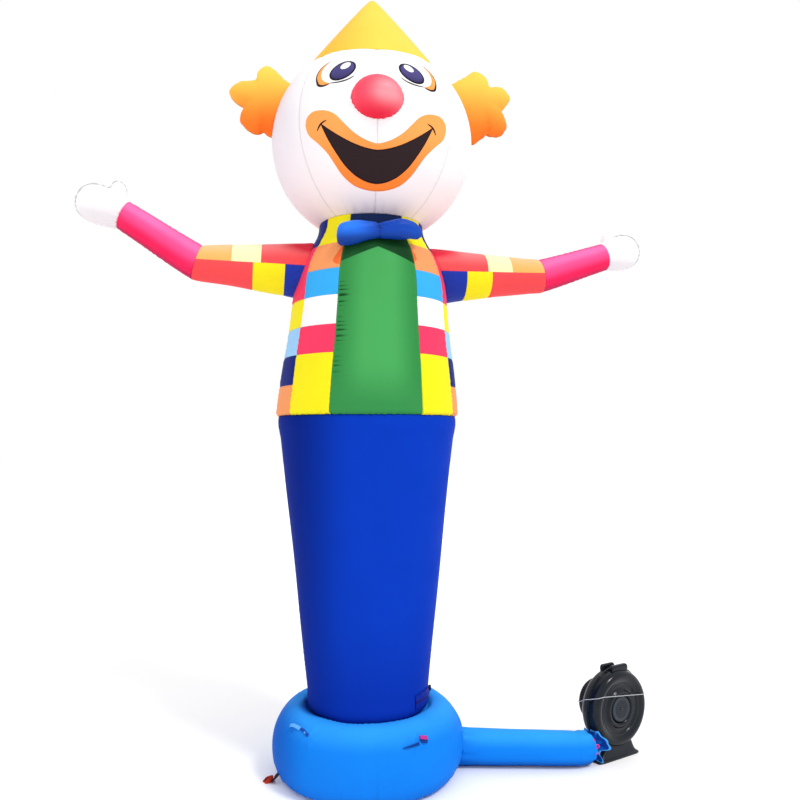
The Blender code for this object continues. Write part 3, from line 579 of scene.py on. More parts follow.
def base_ring():
    """The ring: its profile carried round, with its seams, gathers and pulls."""
    profile = smooth_line(RING_ROWS, step=0.0065)
    profile[:, 1] = maximum(profile[:, 1], 0.0)
    foot = run_along(profile)[:, None]
    top = foot[-1] - foot
    angles = samples(0, 360, 1.05, RING_SEAMS, (.35, 1.0), turn=True)
    gap = round_gap(angles, RING_SEAMS, profile[:, :1])
    round_it = radians(angles)[None] * RING_MEAN_R
    lift = groove(gap, .003, .01) + all_gathers(
        (gap, foot, .0016, .045, .034, 1.0), (foot, round_it, .004, .06, .062, 2.0),
        (foot, round_it, .002, .15, .118, .6), (top, round_it, .0022, .035, .031, 3.0))
    lift = lift + soft_swell(round_it, foot, .0025, .16, .4)
    rising = int(np.argmax(profile[:, 1]))
    for degrees, height, reach, deep in RING_PULLS:
        place = interp(height, profile[:rising, 1], foot[:rising, 0])
        round_off = radians(off_angle(angles, degrees)) * RING_MEAN_R
        lift = lift + pulls(round_off, foot - place, reach, deep)
    lift[0] = lift[-1] = 0.0
    grid = turned(profile, angles, minimum(lift, .006))
    grid[..., 2] = maximum(grid[..., 2], 0.0)
    # Painted shade on the ring's top beside the leg's left side, where the leg stands in it.
    tuck = (1 - (off_angle(angles, LEG_SHADE_AT) / LEG_SHADE_HALF) ** 2) - (top - 0.03) / 0.045
    return skin("ring_shell", grid, [azure], (0 * UP, SEAT_Z * UP), gap=gap, run=foot, tuck=tuck)


dress(base_ring(), "azure_cloth", "base_ring", fill=0.95)

# %% [markdown]
# ## The leg
#
# One long royal blue tube that widens upwards. Four upright seams join its panels, and the seams
# at both ends gather it.

# %% Leg column
WAIST_Z = 1.561
LEG_ROWS = [                # radius, height
    (.252, SEAT_Z + GAP), (.262, .29), (.27, .37), (.3136, .79), (.3574, 1.188),
    (.3878, 1.456), (.3995, 1.546), (.397, WAIST_Z - GAP)]
LEG_SEAMS = (84.0, 142.0, 218.0, 276.0)
# Painted shade: the leg much darker on its left side, away from the sun; it is also darker low
# down.
royal = cloth("royal blue nylon", (.0025, .037, .43), [
    ("Z", .8, .3, (.002, .027, .34)), ("X", -.1, -.34, (.002, .014, .19))],
    shine=0.01)


def leg_column():
    """The leg: its profile carried round, with upright seams and gathers at both ends."""
    profile = smooth_line(LEG_ROWS, step=0.0078)
    length = profile[:, 1:] - profile[0, 1]
    angles = samples(0, 360, 2.0, LEG_SEAMS, (.35, 1.0), turn=True)
    gap = round_gap(angles, LEG_SEAMS, profile[:, :1])
    round_it = radians(angles)[None] * profile[:, :1]
    lift = groove(gap, .0016, .006) + all_gathers(
        (gap, length, .001, .03, .026, .3), (length, round_it, .003, .055, .034, 1.4),
        (length[-1] - length, round_it, .002, .035, .027, 2.2))
    lift = lift + soft_swell(round_it, length, .0022, .26, 1.7)
    lift[0] = lift[-1] = 0.0
    return skin("leg_shell", turned(profile, angles, lift), [royal], gap=gap, run=length)


dress(leg_column(), "royal_cloth", "leg_column", fill=0.95)

# %% [markdown]
# ## The patchwork coat
#
# The coat is pieced from squares in eight colours. Each patch gets its colour by its place: a
# column between two upright seams, and a row between two heights. Every seam has points of the
# grid right on it, so the colours meet in a clean line.

# %% Coat
COAT_ROWS = [               # radius, height
    (.399, WAIST_Z), (.4065, 1.57), (.4065, 1.6), (.3981, 1.681), (.3865, 1.78),
    (.3735, 1.87), (.3628, 1.962), (.353, 2.05), (.3465, 2.125), (.332, 2.2),
    (.303, 2.275), (.266, 2.335), (.243, 2.385), (.235, 2.4307)]
VEST_HALF, PANEL_SUNK = 28.5, .0072
COLUMN_SEAMS = (28.5, 60.0, 92.0, 124.0, 156.0, 204.0, 236.0, 268.0, 300.0, 331.5)
PATCH_COLOURS = {"yellow": YELLOW, "orange": ORANGE, "red": RED, "navy": NAVY, "sky": SKY,
                 "white": WHITE, "lemon": LEMON, "pale_sky": PALE_SKY}
BAND_FEET = (WAIST_Z, 1.69, 1.817, 1.937, 2.062, 2.178, 2.3)
PATCH_BANDS = [             # for each kind of column, the colours from the waist up
    "yellow yellow red white sky orange yellow", "orange navy pale_sky yellow red red navy",
    "yellow sky red navy yellow orange orange", "red red yellow orange white sky red",
    "navy white white sky red navy yellow"]
COLUMN_KINDS = array((0, 0, 1, 2, 3, 4, 3, 2, 1, 0, 0))
FOLD_SHADE_AT = {-1: (9.0, 2.278, 2.19), 1: (4.5, 2.285, 2.215)}   # side: reach, top and low end
# Painted shade: the orange patches darken in a small fold's shape beside the panel's top (pleat).
patch_cloths = {
    name: cloth(name + " patch nylon", colour,
                [("pleat", -.3, .3, (.8, .115, .02))] * (name == "orange"), seams=0.15)
    for name, colour in PATCH_COLOURS.items()}
colour_numbers = array([[list(PATCH_COLOURS).index(name) for name in bands.split()]
                        for bands in PATCH_BANDS])


def pleat(angles, heights):
    """Above zero where a fold's shade is painted beside the panel's top, on each side: reach t^0.8
    (1 - t^8).
    """
    turn, inside = off_angle(angles, 0), -np.ones((len(heights), len(angles)))
    for side, (reach, top, low) in FOLD_SHADE_AT.items():
        t = clip((top - heights) / (top - low), 0, 1)[:, None]
        wide = reach * t ** 0.8 * (1 - t ** 8)
        inside = maximum(inside, np.where(side * turn > 0, wide - (side * turn - VEST_HALF), -1.0))
    return inside


def coat_shell():
    """The coat: its profile carried round, sunk where the green panel covers it."""
    heights = samples(WAIST_Z, COAT_ROWS[-1][1], .0052, BAND_FEET[1:], (.0022, .0055))
    profile = column_stack([by_height(COAT_ROWS, heights), heights])
    angles = samples(0, 360, 1.45, COLUMN_SEAMS, (.3, .8), turn=True)
    radius, z = profile[:, :1], heights[:, None]
    gap_up = round_gap(angles, COLUMN_SEAMS, radius)
    kind = COLUMN_KINDS[np.searchsorted(COLUMN_SEAMS, angles)]
    seams = [array(BAND_FEET)[np.insert(row[1:] != row[:-1], 0, True)] for row in colour_numbers]
    gap_level = stack([nearest(heights, row) for row in seams])[kind].T
    round_it, gap = radians(angles)[None] * radius, minimum(gap_up, gap_level)
    lift = groove(gap, .0018, .006) + all_gathers(
        (gap_up, z, .0013, .034, .028, .8), (gap_level, round_it, .0009, .026, .03, 2.6),
        (z - WAIST_Z, round_it, .0022, .045, .032, 1.1))
    lift = lift + soft_swell(round_it, z, .002, .2, 2.9)
    under = clip((VEST_HALF - minimum(angles, 360 - angles)) / 0.9, 0, 1)[None]
    lift = lift * (1 - under) - PANEL_SUNK * under
    face_kind = COLUMN_KINDS[np.searchsorted(COLUMN_SEAMS, angles + 0.01)]
    band = np.searchsorted(BAND_FEET, (heights[1:] + heights[:-1]) / 2) - 1
    return skin("coat_shell", turned(profile, angles, lift), list(patch_cloths.values()),
                numbers=colour_numbers[face_kind[None], band[:, None]], gap=gap,
                run=np.where(gap_level < gap_up, round_it, z), pleat=pleat(angles, heights))


dress(coat_shell(), "patchwork_cloth", "torso_coat", fill=0.92)

# %% [markdown]
# ## The green front panel
#
# One sheet of green nylon, sewn into the coat's front along both sides. Level gathers run in
# from its left seam, where the thread was pulled tighter. A narrow dark strip of the neck shows
# above the tie, and below it the shadow of head and tie is painted on in darker green.

# %% Green panel
SHADOW_TIP_Z, SHADOW_SLOPE, NECK_STRIP_Z, PANEL_THICK = 2.268, .42, 2.372, .0024
# Painted shade: the panel darker at its sides and towards the waist, the shadow of head and tie
# below the tie, and darker creases where its gathers dip.
green = cloth("green nylon", (.057, .335, .089), [
    ("aside", .25, .95, (.026, .215, .05)), ("Z", 1.78, 1.58, (.03, .225, .058)),
    ("over_yoke", -.002, .002, (.0005, .022, .004)),
    ("crease", .05, .5, (.002, .045, .01))])
neck_navy = cloth("dark neck nylon", (.008, .022, .085))


def green_panel():
    """A thin sheet over the coat's front; its gathers are deepest at its left seam."""
    a, b = -VEST_HALF + 0.05, VEST_HALF - 0.05
    heights = samples(WAIST_Z + 0.0003, 2.43, .0045, (NECK_STRIP_Z,), (.002,))
    profile = column_stack([by_height(COAT_ROWS, heights), heights])
    angles = samples(a, b, .95, (a + 0.5, a + 1.2, b - 0.5, b - 1.2))
    left, right, round_it = (radians(turn)[None] * profile[:, :1]
                             for turn in (angles - a, b - angles, angles))
    z = heights[:, None]
    tight = exp(-((z - 1.95) / 0.22) ** 4)
    gap = minimum(left, right)
    clear = clip(gap / 0.01, 0, 1)
    lift = -0.002 * (1 - clear) + gathers(left, z, .004, .042, .021, .5) * clear * (
        0.2 + 0.8 * tight)
    lift = lift + gathers(right, z, .0016, .026, .024, 1.9) * clear
    lift = lift + gathers(z - WAIST_Z, round_it, .0016, .04, .03, .2)
    lift = maximum(lift + soft_swell(round_it, z, .0018, .22, 5.1), -.0042)
    front, back = (turned(profile, angles, lift - thick) for thick in (0, PANEL_THICK))
    is_neck = z[:-1] >= NECK_STRIP_Z - 0.0001
    # The painted shadow of head and tie: an upside-down V below the tie, darker green above its
    # edge.
    over_yoke = front[..., 2] - (SHADOW_TIP_Z - SHADOW_SLOPE * abs(front[..., 0] - 0.006))
    # Where the gathers dip, their creases get painted shade.
    crease = -gathers(left, z, 1.0, .042, .021, .5) * clear * tight
    piece = leaf("green_panel", front, back, [green, neck_navy], numbers=is_neck.astype(int),
                 gap=gap, run=z, over_yoke=over_yoke, crease=crease,
                 aside=abs(angles)[None] / VEST_HALF)
    return piece, float(radians(b - a) * profile[:, 0].max()), float(run_along(profile)[-1])


panel, panel_width, panel_length = green_panel()
dress(panel, "green_cloth", "vest_panel")
print("green panel cut to", round(panel_width, 3), "by", round(panel_length, 3))

# %% [markdown]
# ## The head
#
# A ball of eight gores, a little flatter than a true ball. Each gore bulges between its seams,
# so the seams lie in shallow valleys. Everything printed or sewn on the face is placed by two
# angles, round and up, on this same surface.

# %% Head ball
HEAD_Z, HEAD_R, HEAD_H, HEAD_LEAN, HEAD_TURN = 2.806, .459, .435, .013, -3.4
HEAD_CENTRE = array([HEAD_LEAN, 0.0, HEAD_Z])
NECK_Z, GORES, GORE_DIP, GORE_DIP_HALF = 2.431, 8, .005, 13.0


def out_from_axis(turn):
    """The level direction at an angle round from -Y, in radians: (sin a, -cos a, 0)."""
    return stack([sin(turn), -cos(turn), 0 * turn], axis=-1)


def head_point(turn, level, off=0.0):
    """A point of the head: round by turn and up by level, in degrees, and off its surface.

    Its radius is (R + off - valley) cos(level) and its height (H + off) sin(level); the valley
    of a gore seam is the dip times (1 - distance / 13 degrees) squared.
    """
    turn, level = np.broadcast_arrays(np.asarray(turn, float), radians(level))
    away = abs((turn - HEAD_TURN + 22.5) % 45.0 - 22.5)
    valley = GORE_DIP * maximum(0, 1 - away / GORE_DIP_HALF) ** 2
    out = out_from_axis(radians(turn)) * ((HEAD_R + off - valley) * cos(level))[..., None]
    return HEAD_CENTRE + out + UP * ((HEAD_H + off) * sin(level))[..., None]


def outside_head(points, off=0.0):
    """Push points that lie inside the head straight out onto its surface."""
    size = array([HEAD_R + off, HEAD_R + off, HEAD_H + off])
    away = norm((points - HEAD_CENTRE) / size, axis=-1)[..., None]
    return np.where(away < 1, HEAD_CENTRE + (points - HEAD_CENTRE) / maximum(away, 1e-6), points)


# Painted shade and reflected light: the head pinker and darker low down, as the coat's colours
# bounce up, and darker on its left side.
white = cloth("white nylon", (.9, .885, .9), [
    ("Z", 2.86, 2.38, (.84, .715, .735)), ("X", -.2, -.44, (.74, .68, .74))],
              thread=(.72, .71, .73), seams=0.4, rough=0.55)


def head_ball():
    """The head on a grid of levels and turns, with fine gathers beside each gore seam."""
    neck = np.degrees(np.arcsin((NECK_Z - HEAD_Z) / HEAD_H))
    levels = linspace(neck, 89.0, 165)[:, None]
    seams = (HEAD_TURN + 45.0 * arange(GORES)) % 360
    angles = samples(0, 360, 1.2, seams, (.25, .7), turn=True)
    flat = cos(radians(levels))
    gap = round_gap(angles, seams, HEAD_R * flat)
    run = radians(levels) * HEAD_H
    off = groove(gap, .001, .004) + all_gathers(
        (gap, run, .001, .026, .03, .9),
        (run - run[0], radians(angles)[None] * 0.23, .003, .045, .036, .4))
    off[0] = 0.0
    grid = head_point(angles[None], levels, off * clip(flat / 0.3, 0, 1))
    return skin("head_shell", grid, [white], (None, HEAD_CENTRE + UP * HEAD_H), gap=gap, run=run)


dress(head_ball(), "white_cloth", "head_ball", fill=0.97)

# %% [markdown]
# ## The printed face
#
# Eyes, lips and mouth are printed on the nylon before the gores are sewn. Each printed shape is
# a thin skin just proud of the head, drawn between two curves or inside an oval. Both halves
# are the same, so sizes are given for one: degrees out from the middle, and degrees up.

# %% Shapes on the head's surface
FACE_TURN, PRINT_DEPTH = -3.2, -.0006


def both_halves(rows):
    """A curve from its right half: the rows mirrored, then the rows themselves."""
    half = array(rows, float)
    return concatenate([(half * (-1, 1))[:0:-1], half])


def on_face_skin(flat, off):
    """Points of the face from degrees out from its middle and degrees up."""
    return head_point(FACE_TURN + flat[..., 0], flat[..., 1], off)


def on_head(name, low, high, off, finish, slot, rows=None):
    """A printed shape between a low and a high curve of the same number of points."""
    tall = abs(high[:, 1] - low[:, 1]).max()
    share = linspace(0, 1, rows or max(3, int(np.ceil(tall / 1.2)) + 1))[:, None, None]
    flat = low[None] * (1 - share) + high[None] * share
    dress(leaf(name, on_face_skin(flat, off), on_face_skin(flat, PRINT_DEPTH), [finish]), slot)


def even_curve(rows, count=None, step=0.8):
    """The smooth curve through rows of degrees, cut into even steps."""
    fine = smooth_line(rows, step=0.2)
    length = run_along(fine)
    places = linspace(0, length[-1], count or int(length[-1] / step) + 2)
    return column_stack([interp(places, length, column) for column in fine.T])


def line_on_head(name, rows, wide, off, finish, slot, ends=0.15):
    """A printed line: a curve widened to both sides, its ends drawn thin."""
    curve = even_curve(rows, step=0.5)
    stretch = cos(radians(curve[:, 1:]))
    way = unit(np.gradient(curve, axis=0) * np.insert(stretch, 1, 1.0, axis=1))
    taper = ends + (1 - ends) * sin(pi * linspace(0, 1, len(curve))) ** 0.6
    side = column_stack([-way[:, 1:] / stretch, way[:, 0]]) * (wide / 2 * taper)[:, None]
    on_head(name, curve - side, curve + side, off, finish, slot, rows=3)


def oval_on_head(name, middle, half, slant, off, finish, slot, steps=56):
    """A printed oval: (a cos t, b sin(t - slant)) about its middle, shrunk in rings to a point."""
    t = full_turn(steps)
    rim = column_stack([half[0] * cos(t), half[1] * sin(t - radians(slant))])
    rings = stack([on_face_skin(middle + rim * size, lift) for size, lift in (
        (1.0, PRINT_DEPTH), (1.0, off), (.8, off), (.55, off), (.25, off))])
    tips = (on_face_skin(middle, PRINT_DEPTH), on_face_skin(middle, off))
    dress(skin(name, rings, [finish], tips), slot)


# %% Lips and mouth
lips = cloth("orange face print", (.92, .35, .088), [("Z", 2.74, 2.52, (.94, .195, .026))])
mouth_dark = cloth("dark mouth print", (.026, .014, .016))
ink = cloth("black line print", (.014, .01, .014))
LIP_TOP = [(0, -19.8), (4, -19.0), (7.5, -17.6), (13.3, -13.7), (18.3, -8.3), (22.3, -4.0),
           (26, -1.8), (31, -.6), (35.5, -.7), (39.2, -3.2), (40.4, -6.8)]
LIP_LOW = [(0, -45.2), (8.8, -44.3), (16.9, -41.0), (22.5, -35.3), (25.7, -29.3), (28.8, -23.4),
           (33.2, -18.0), (39.4, -11.0), (40.4, -6.8)]
MOUTH_TOP = [(0, -23.2), (6.5, -22.3), (13.1, -19.9), (19.8, -16.1), (25.5, -12.0), (30.4, -8.0)]
MOUTH_LOW = [(0, -40.7), (6.6, -39.7), (12.7, -36.8), (18.8, -31.1), (23.0, -24.3), (27.0, -16.3),
             (30.4, -8.0)]
MOUTH_CORNER = [(27.0, -6.5), (30.4, -8.0), (33.0, -11.2)]
SIDES = ((-1, "left"), (1, "right"))

lip_top, lip_low, mouth_top, mouth_low = (
    even_curve(both_halves(rows), count=121) for rows in (LIP_TOP, LIP_LOW, MOUTH_TOP, MOUTH_LOW))
on_head("lips", lip_low, lip_top, .0005, lips, "orange_cloth")
on_head("mouth", mouth_low, mouth_top, .0009, mouth_dark, "black_plastic")
for title, curve in (("mouth_line_low", MOUTH_LOW), ("mouth_line_top", MOUTH_TOP)):
    line_on_head(title, both_halves(curve), .55, .0013, ink, "black_plastic", ends=0.6)
for side, title in SIDES:
    line_on_head("mouth_corner_" + title, array(MOUTH_CORNER) * (side, 1), .9, .0014, ink,
                 "black_plastic")

# %% Eyes
iris_print = cloth("indigo eye print", (.07, .06, .2), [
    ("Z", 2.985, 2.9, (.024, .021, .075))])
white_print = cloth("white print", (.92, .92, .94))
EYE_OVALS = (               # name, middle, half sizes, slant, off the head, finish, slot
    ("iris_ring_", (19.6, 22.3), (7.5, 7.0), 14.0, .0007, ink, "black_plastic"),
    ("iris_", (19.6, 22.3), (6.6, 6.1), 14.0, .0011, iris_print, "royal_cloth"),
    ("eye_shine_", (18.3, 25.4), (2.9, 2.6), 18.0, .0016, white_print, "white_cloth"))
EYE_OUTER = [(29.5, 31.8), (34.0, 27.5), (35.6, 22.0), (34.6, 17.5), (31.3, 13.8), (26.0, 14.0)]
EYE_INNER = [(29.5, 31.8), (32.6, 26.3), (32.4, 20.6), (29.7, 16.3), (26.0, 14.3)]
EYE_LINES = (               # name, curve, width, off the head
    ("eye_curve_", EYE_OUTER, .5, .0012),
    ("eye_lid_", [(25.9, 14.3), (20.6, 14.2), (15.9, 15.3), (12.5, 17.4)], .7, .0012),
    ("eye_corner_", [(35.6, 20.5), (34.3, 17.1), (32.9, 14.5), (30.3, 13.4), (26.1, 13.9)], 1.1,
     0.0013))

for side, title in SIDES:
    flip = array((side, 1))
    for name, middle, half, slant, off, finish, slot in EYE_OVALS:
        oval_on_head(name + title, middle * flip, half, side * slant, off, finish, slot)
    outer, inner = (even_curve(array(rows) * flip, count=41) for rows in (EYE_OUTER, EYE_INNER))
    on_head("eye_edge_" + title, inner, outer, .0007, lips, "orange_cloth")
    for name, rows, wide, off in EYE_LINES:
        line_on_head(name + title, array(rows) * flip, wide, off, ink, "black_plastic")
print("face: lips, mouth and two eyes, the same on both sides of", FACE_TURN, "degrees")

# %% [markdown]
# ## The hat
#
# A cone of yellow nylon in four panels is sewn to the crown along a slanting seam, lower in
# front. Air rounds its foot and its tip a little.

# %% Hat
HAT_BRIM_LEVEL, HAT_BRIM_DROP, HAT_TIP_Z, HAT_TIP_R, HAT_LENGTH = 53.0, 10.5, 3.5, .018, .47
HAT_ROWS = array([          # share of the way to the tip, puff
    (0.0, 0.0), (.035, .002), (.2, .0047), (.5, .006), (.78, .0048), (.94, .0026),
    (1.0, 0.0)])
HAT_SEAMS = (41.6, 131.6, 221.6, 311.6)
# Painted shade: the hat deeper orange on its left side.
hat_yellow = cloth("hat nylon", (.9, .6, .075), [("X", .02, -.2, (.9, .46, .04))])


def hat_cone():
    """The hat: straight lines from the slanting seam to the tip, lifted by the puff."""
    angles = samples(0, 360, 2.4, HAT_SEAMS, (.7, 1.8), turn=True)
    turn = radians(angles)
    level = radians(HAT_BRIM_LEVEL - HAT_BRIM_DROP * cos(turn - radians(HEAD_TURN)))[:, None]
    out = out_from_axis(turn)
    brim = HEAD_CENTRE + out * HEAD_R * cos(level) + UP * HEAD_H * sin(level)
    tip = array([HEAD_LEAN, 0, HAT_TIP_Z]) + out * HAT_TIP_R
    shares = concatenate([linspace(0, .12, 16)[:-1], linspace(.12, 1, 56)])
    puff = smooth_line(HAT_ROWS, interp(shares, HAT_ROWS[:, 0], run_along(HAT_ROWS)))[:, 1]
    line = brim[None] + (tip - brim)[None] * shares[:, None, None]
    wide = norm((line - line.mean(axis=1, keepdims=True))[..., :2], axis=-1)
    gap = round_gap(angles, HAT_SEAMS, wide)
    run = shares[:, None] * HAT_LENGTH
    lift = puff[:, None] + groove(gap, .0016, .006) * (wide > 0.03)
    lift = lift + gathers(run, turn[None] * 0.28, .0024, .04, .03, .7) * (run > 0)
    lift = lift + gathers(gap, run, .0012, .03, .03, 1.9) * clip(wide / 0.1, 0, 1)
    grid = line + out[None] * lift[..., None]
    grid, gap, run = (concatenate([field[:1], field]) for field in (grid, gap, run))
    grid[0] = HEAD_CENTRE + (grid[0] - HEAD_CENTRE) * 0.985
    tips = (HEAD_CENTRE + UP * HEAD_H * 0.8, tip.mean(axis=0) + (0, 0, .004))
    return skin("hat_shell", grid, [hat_yellow], tips, gap=gap, run=run)


dress(hat_cone(), "yellow_cloth", "hat_cone", fill=0.9)

# %% [markdown]
# ## The arms
#
# Each arm has a patchwork sleeve, a pink forearm and a white mitten. The sleeve has two rows of
# patches, one above and one below its middle line, and starts on the coat's own surface, where
# the armhole seam draws it in. The rings of such a tube stand square to a middle line.

# %% Rings along a line
def rings_along(middles, ways, half_side, half_up, turn, up=(0, 0, 1)):
    """Points middle + cos(t) half_side side + sin(t) half_up rise, for all t round each ring."""
    side = unit(cross(ways, up))
    rise = cross(side, ways)
    half_side, half_up = (h if np.ndim(h) == 2 else np.asarray(h)[..., None]
                          for h in (half_side, half_up))
    return (middles[:, None] + (cos(turn) * half_side)[..., None] * side[:, None]
            + (sin(turn) * half_up)[..., None] * rise[:, None])


# %% Sleeves
SHOULDER = array([0, 0, 2.205])
SLEEVE_ROWS = [             # radius, share of the way from the coat's middle to the elbow
    (.128, .3), (.123, .42), (.1125, .55), (.098, .72), (.0855, .88), (.0775, 1.0)]
ARMS = {                    # elbow, wrist, finger tip
    "left": array(((-.764, -.02, 2.238), (-1.078, -.02, 2.436), (-1.283, -.02, 2.502))),
    "right": array(((.822, .016, 2.236), (1.137, .012, 2.338), (1.341, .052, 2.385)))}
SLEEVE_PATCHES = {          # for each arm, upper and lower row: outer ends along X, colours
    "left": (((.487, .614), "red lemon orange"), ((.385, .52), "navy yellow red")),
    "right": (((.54, .66), "red lemon orange"), ((.437, .56), "navy yellow red"))}
SLEEVE_COLOURS = {"red": (.86, .072, .08), "orange": (.85, .42, .12), "lemon": LEMON,
                  "yellow": (.86, .72, .013), "navy": (.015, .036, .34)}
BLOCK_END = 0.5            # the share up to which the rings lean towards the armhole
# Painted light: each sleeve patch is lighter on its upper side; the red patches also take
# root_shade, painted shade where the sleeve meets the coat.
sleeve_cloths = [cloth(name + " sleeve nylon", colour, [
    ("upward", .15, .95, shade(colour, .84, .16))] + [
    ("root_shade", .1, .6, (.66, .018, .045))] * (name == "red"), seams=0.15)
    for name, colour in SLEEVE_COLOURS.items()]


def sleeve(side):
    """A sleeve: rings from the coat's surface to the elbow, with patches and their seams."""
    elbow, wrist, _ = ARMS[side]
    along, length = unit(elbow - SHOULDER), norm(elbow - SHOULDER)
    bend = unit(along + unit(wrist - elbow))
    turn = radians(samples(0, 360, 4.2, (0, 180), (1.2, 3.0), turn=True))
    ends = [array(row) / abs(elbow[0]) for row, _ in SLEEVE_PATCHES[side]]
    seams = concatenate(ends)
    outer = samples(BLOCK_END, 1.0, .0095, seams[seams > 0.51], (.0028, .007))
    dense = linspace(.3, .6, 301)

    def rings(shares):
        radius = by_height(SLEEVE_ROWS, shares)
        ways = along + (bend - along) * (clip((shares - 0.86) / 0.14, 0, 1) ** 2)[:, None]
        middles = SHOULDER + (elbow - SHOULDER) * shares[:, None] \
            - bend * (GAP / 2) * (shares[:, None] == 1)
        return rings_along(middles, unit(ways), radius, radius, turn)

    near = rings(dense)
    inside = hypot(near[..., 0] - interp(near[..., 2], *LEAN_ROWS.T), near[..., 1]) \
        < by_height(COAT_ROWS, near[..., 2]) - 0.0015
    start = dense[inside.sum(axis=0).clip(max=len(dense) - 1)]
    first = start + (BLOCK_END - start) * linspace(0, 1, 16)[:-1, None]
    place = (first - dense[0]) / (dense[1] - dense[0])
    low, column = place.astype(int).clip(max=len(dense) - 2), arange(len(turn))
    part = (place - low)[..., None]
    begin = near[low, column] * (1 - part) + near[low + 1, column] * part
    grid = concatenate([begin, rings(outer)])
    shares = concatenate([first, np.repeat(outer[:, None], len(turn), axis=1)])
    radius = by_height(SLEEVE_ROWS, shares)
    round_it, run = turn[None] * radius, shares * length
    gap_mid = nearest(turn, (0, pi, 2 * pi))[None] * radius
    gap_level = np.where((sin(turn) >= 0)[None], *(nearest(shares, row) * length for row in ends))
    armhole, elbow_gap = (shares - start) * length, (1 - shares) * length
    gap = minimum(gap_mid, gap_level)
    off = groove(gap, .0014, .005) + all_gathers(
        (gap_mid, run, .0016, .026, .026, 1.2), (gap_level, round_it, .001, .02, .028, .4))
    off = off + gathers(armhole, round_it, .0042, .05, .036, 2.7) * (armhole > 0.001)
    off = off + gathers(elbow_gap, round_it, .003, .045, .032, 1.6) * (elbow_gap > 0.001)
    off = off + soft_swell(round_it, run, .0016, .12, 3.3)
    off = off * clip(armhole / 0.008, 0, 1) * clip(elbow_gap / 0.008, .15, 1)
    centre = SHOULDER + (elbow - SHOULDER) * shares[..., None]
    grid = grid + unit(grid - centre) * off[..., None]
    picks = [array([list(SLEEVE_COLOURS).index(name) for name in names.split()])[
        np.searchsorted(row, (shares[1:] + shares[:-1]) / 2)]
        for row, (_, names) in zip(ends, SLEEVE_PATCHES[side])]
    return skin("sleeve_shell_" + side, grid, sleeve_cloths, gap=gap, upward=sin(turn),
                numbers=np.where((sin(turn + 0.01) >= 0)[None], *picks),
                run=np.where(gap_level < gap_mid, round_it, run),
                root_shade=(1 - armhole / 0.19) * clip((sin(turn) - 0.3) / 0.5, 0, 1))


for side in ARMS:
    dress(sleeve(side), "patchwork_cloth", "sleeve_" + side, fill=0.92)

# %% Forearms
ELBOW_R, WRIST_R = 0.0765, .0645
# Painted light and shade: lighter pink on the upper side, deeper red on the lower side, and darker
# along the top and bottom edges.
pink = cloth("pink nylon", (.88, .075, .25), [
    ("upward", .05, .55, (.9, .155, .41)), ("upward", .72, 1.0, (.6, .05, .22)),
    ("upward", .1, -.65, (.82, .01, .08)), ("upward", -.72, -1.0, (.45, .006, .06))])


def forearm(side):
    """The pink tube from the elbow seam to the cuff seam, gathered at both."""
    elbow, wrist, tip = ARMS[side]
    along, length = unit(wrist - elbow), norm(wrist - elbow)
    bend, cuff = unit(unit(elbow - SHOULDER) + along), unit(along + unit(tip - wrist))
    shares = linspace(0, 1, 56)[:, None]
    near_elbow, near_cuff = (clip(1 - away / 0.22, 0, 1) ** 2 for away in (shares, 1 - shares))
    ways = unit(along + (bend - along) * near_elbow + (cuff - along) * near_cuff)
    middles = elbow + (wrist - elbow) * shares
    middles[0], middles[-1] = elbow + bend * GAP / 2, wrist - cuff * GAP / 2
    angles = samples(0, 360, 4.2, (90, 270), (1.4, 3.5), turn=True)
    turn, radius = radians(angles), ELBOW_R + (WRIST_R - ELBOW_R) * shares
    round_it, run = turn[None] * radius, shares * length
    gap = round_gap(angles, (90, 270), radius)
    off = groove(gap, .0013, .005) + all_gathers(
        (gap, run, .0013, .022, .028, .9), (run, round_it, .0036, .04, .03, 2.1),
        (length - run, round_it, .003, .034, .026, .3))
    off = off + soft_swell(round_it, run, .0014, .12, 1.1)
    off = off * clip(run / 0.006, .1, 1) * clip((length - run) / 0.006, .1, 1)
    grid = rings_along(middles, ways, radius + off, radius + off, turn)
    return skin("forearm_shell_" + side, grid, [pink], gap=gap, run=run, upward=sin(turn))


for side in ARMS:
    dress(forearm(side), "pink_cloth", "forearm_" + side, fill=0.9)

# %% [markdown]
# ## Blown up by simulation
#
# Mittens, tufts and tie are small stuffed shapes that swell between their seams. So each is
# made like a real one: a first shape, an even mesh over it, held fast along its seam, and then
# cloth with air pressure. How far a point moves is capped, so that the piece keeps to its solid.

# %% Cloth blown up with air
def read(items, what, wide=3, kind=np.float32):
    """One value or vector of every item of a mesh, as an array."""
    flat = np.empty(len(items) * wide, kind)
    items.foreach_get(what, flat)
    return flat.reshape(-1, wide)


def points_of(thing):
    """An object's points as an array."""
    return read(thing.data.vertices, "co").astype(float)


def set_points(thing, points):
    """Write an object's points."""
    thing.data.vertices.foreach_set("co", np.ascontiguousarray(points, np.float32).ravel())
    thing.data.update()


def push_out(thing, off):
    """An object's points, each moved along the direction that the surface faces there."""
    facing = read(thing.data.vertex_normals, "vector").astype(float)
    return points_of(thing) + facing * off[:, None]


def remeshed(name, parts, voxel):
    """One even mesh over some overlapping closed pieces, which are used up."""
    joined = bmesh.new()
    for part in parts:
        joined.from_mesh(part.data)
        bpy.data.objects.remove(part)
    mesh = bpy.data.meshes.new(name)
    joined.to_mesh(mesh)
    joined.free()
    thing = placed(name, mesh)
    step = thing.modifiers.new("even mesh", "REMESH")
    step.mode, step.voxel_size, step.use_smooth_shade = "VOXEL", voxel, True
    even = bpy.data.meshes.new_from_object(thing.evaluated_get(
        bpy.context.evaluated_depsgraph_get()))
    thing.modifiers.clear()
    thing.data = even
    return thing


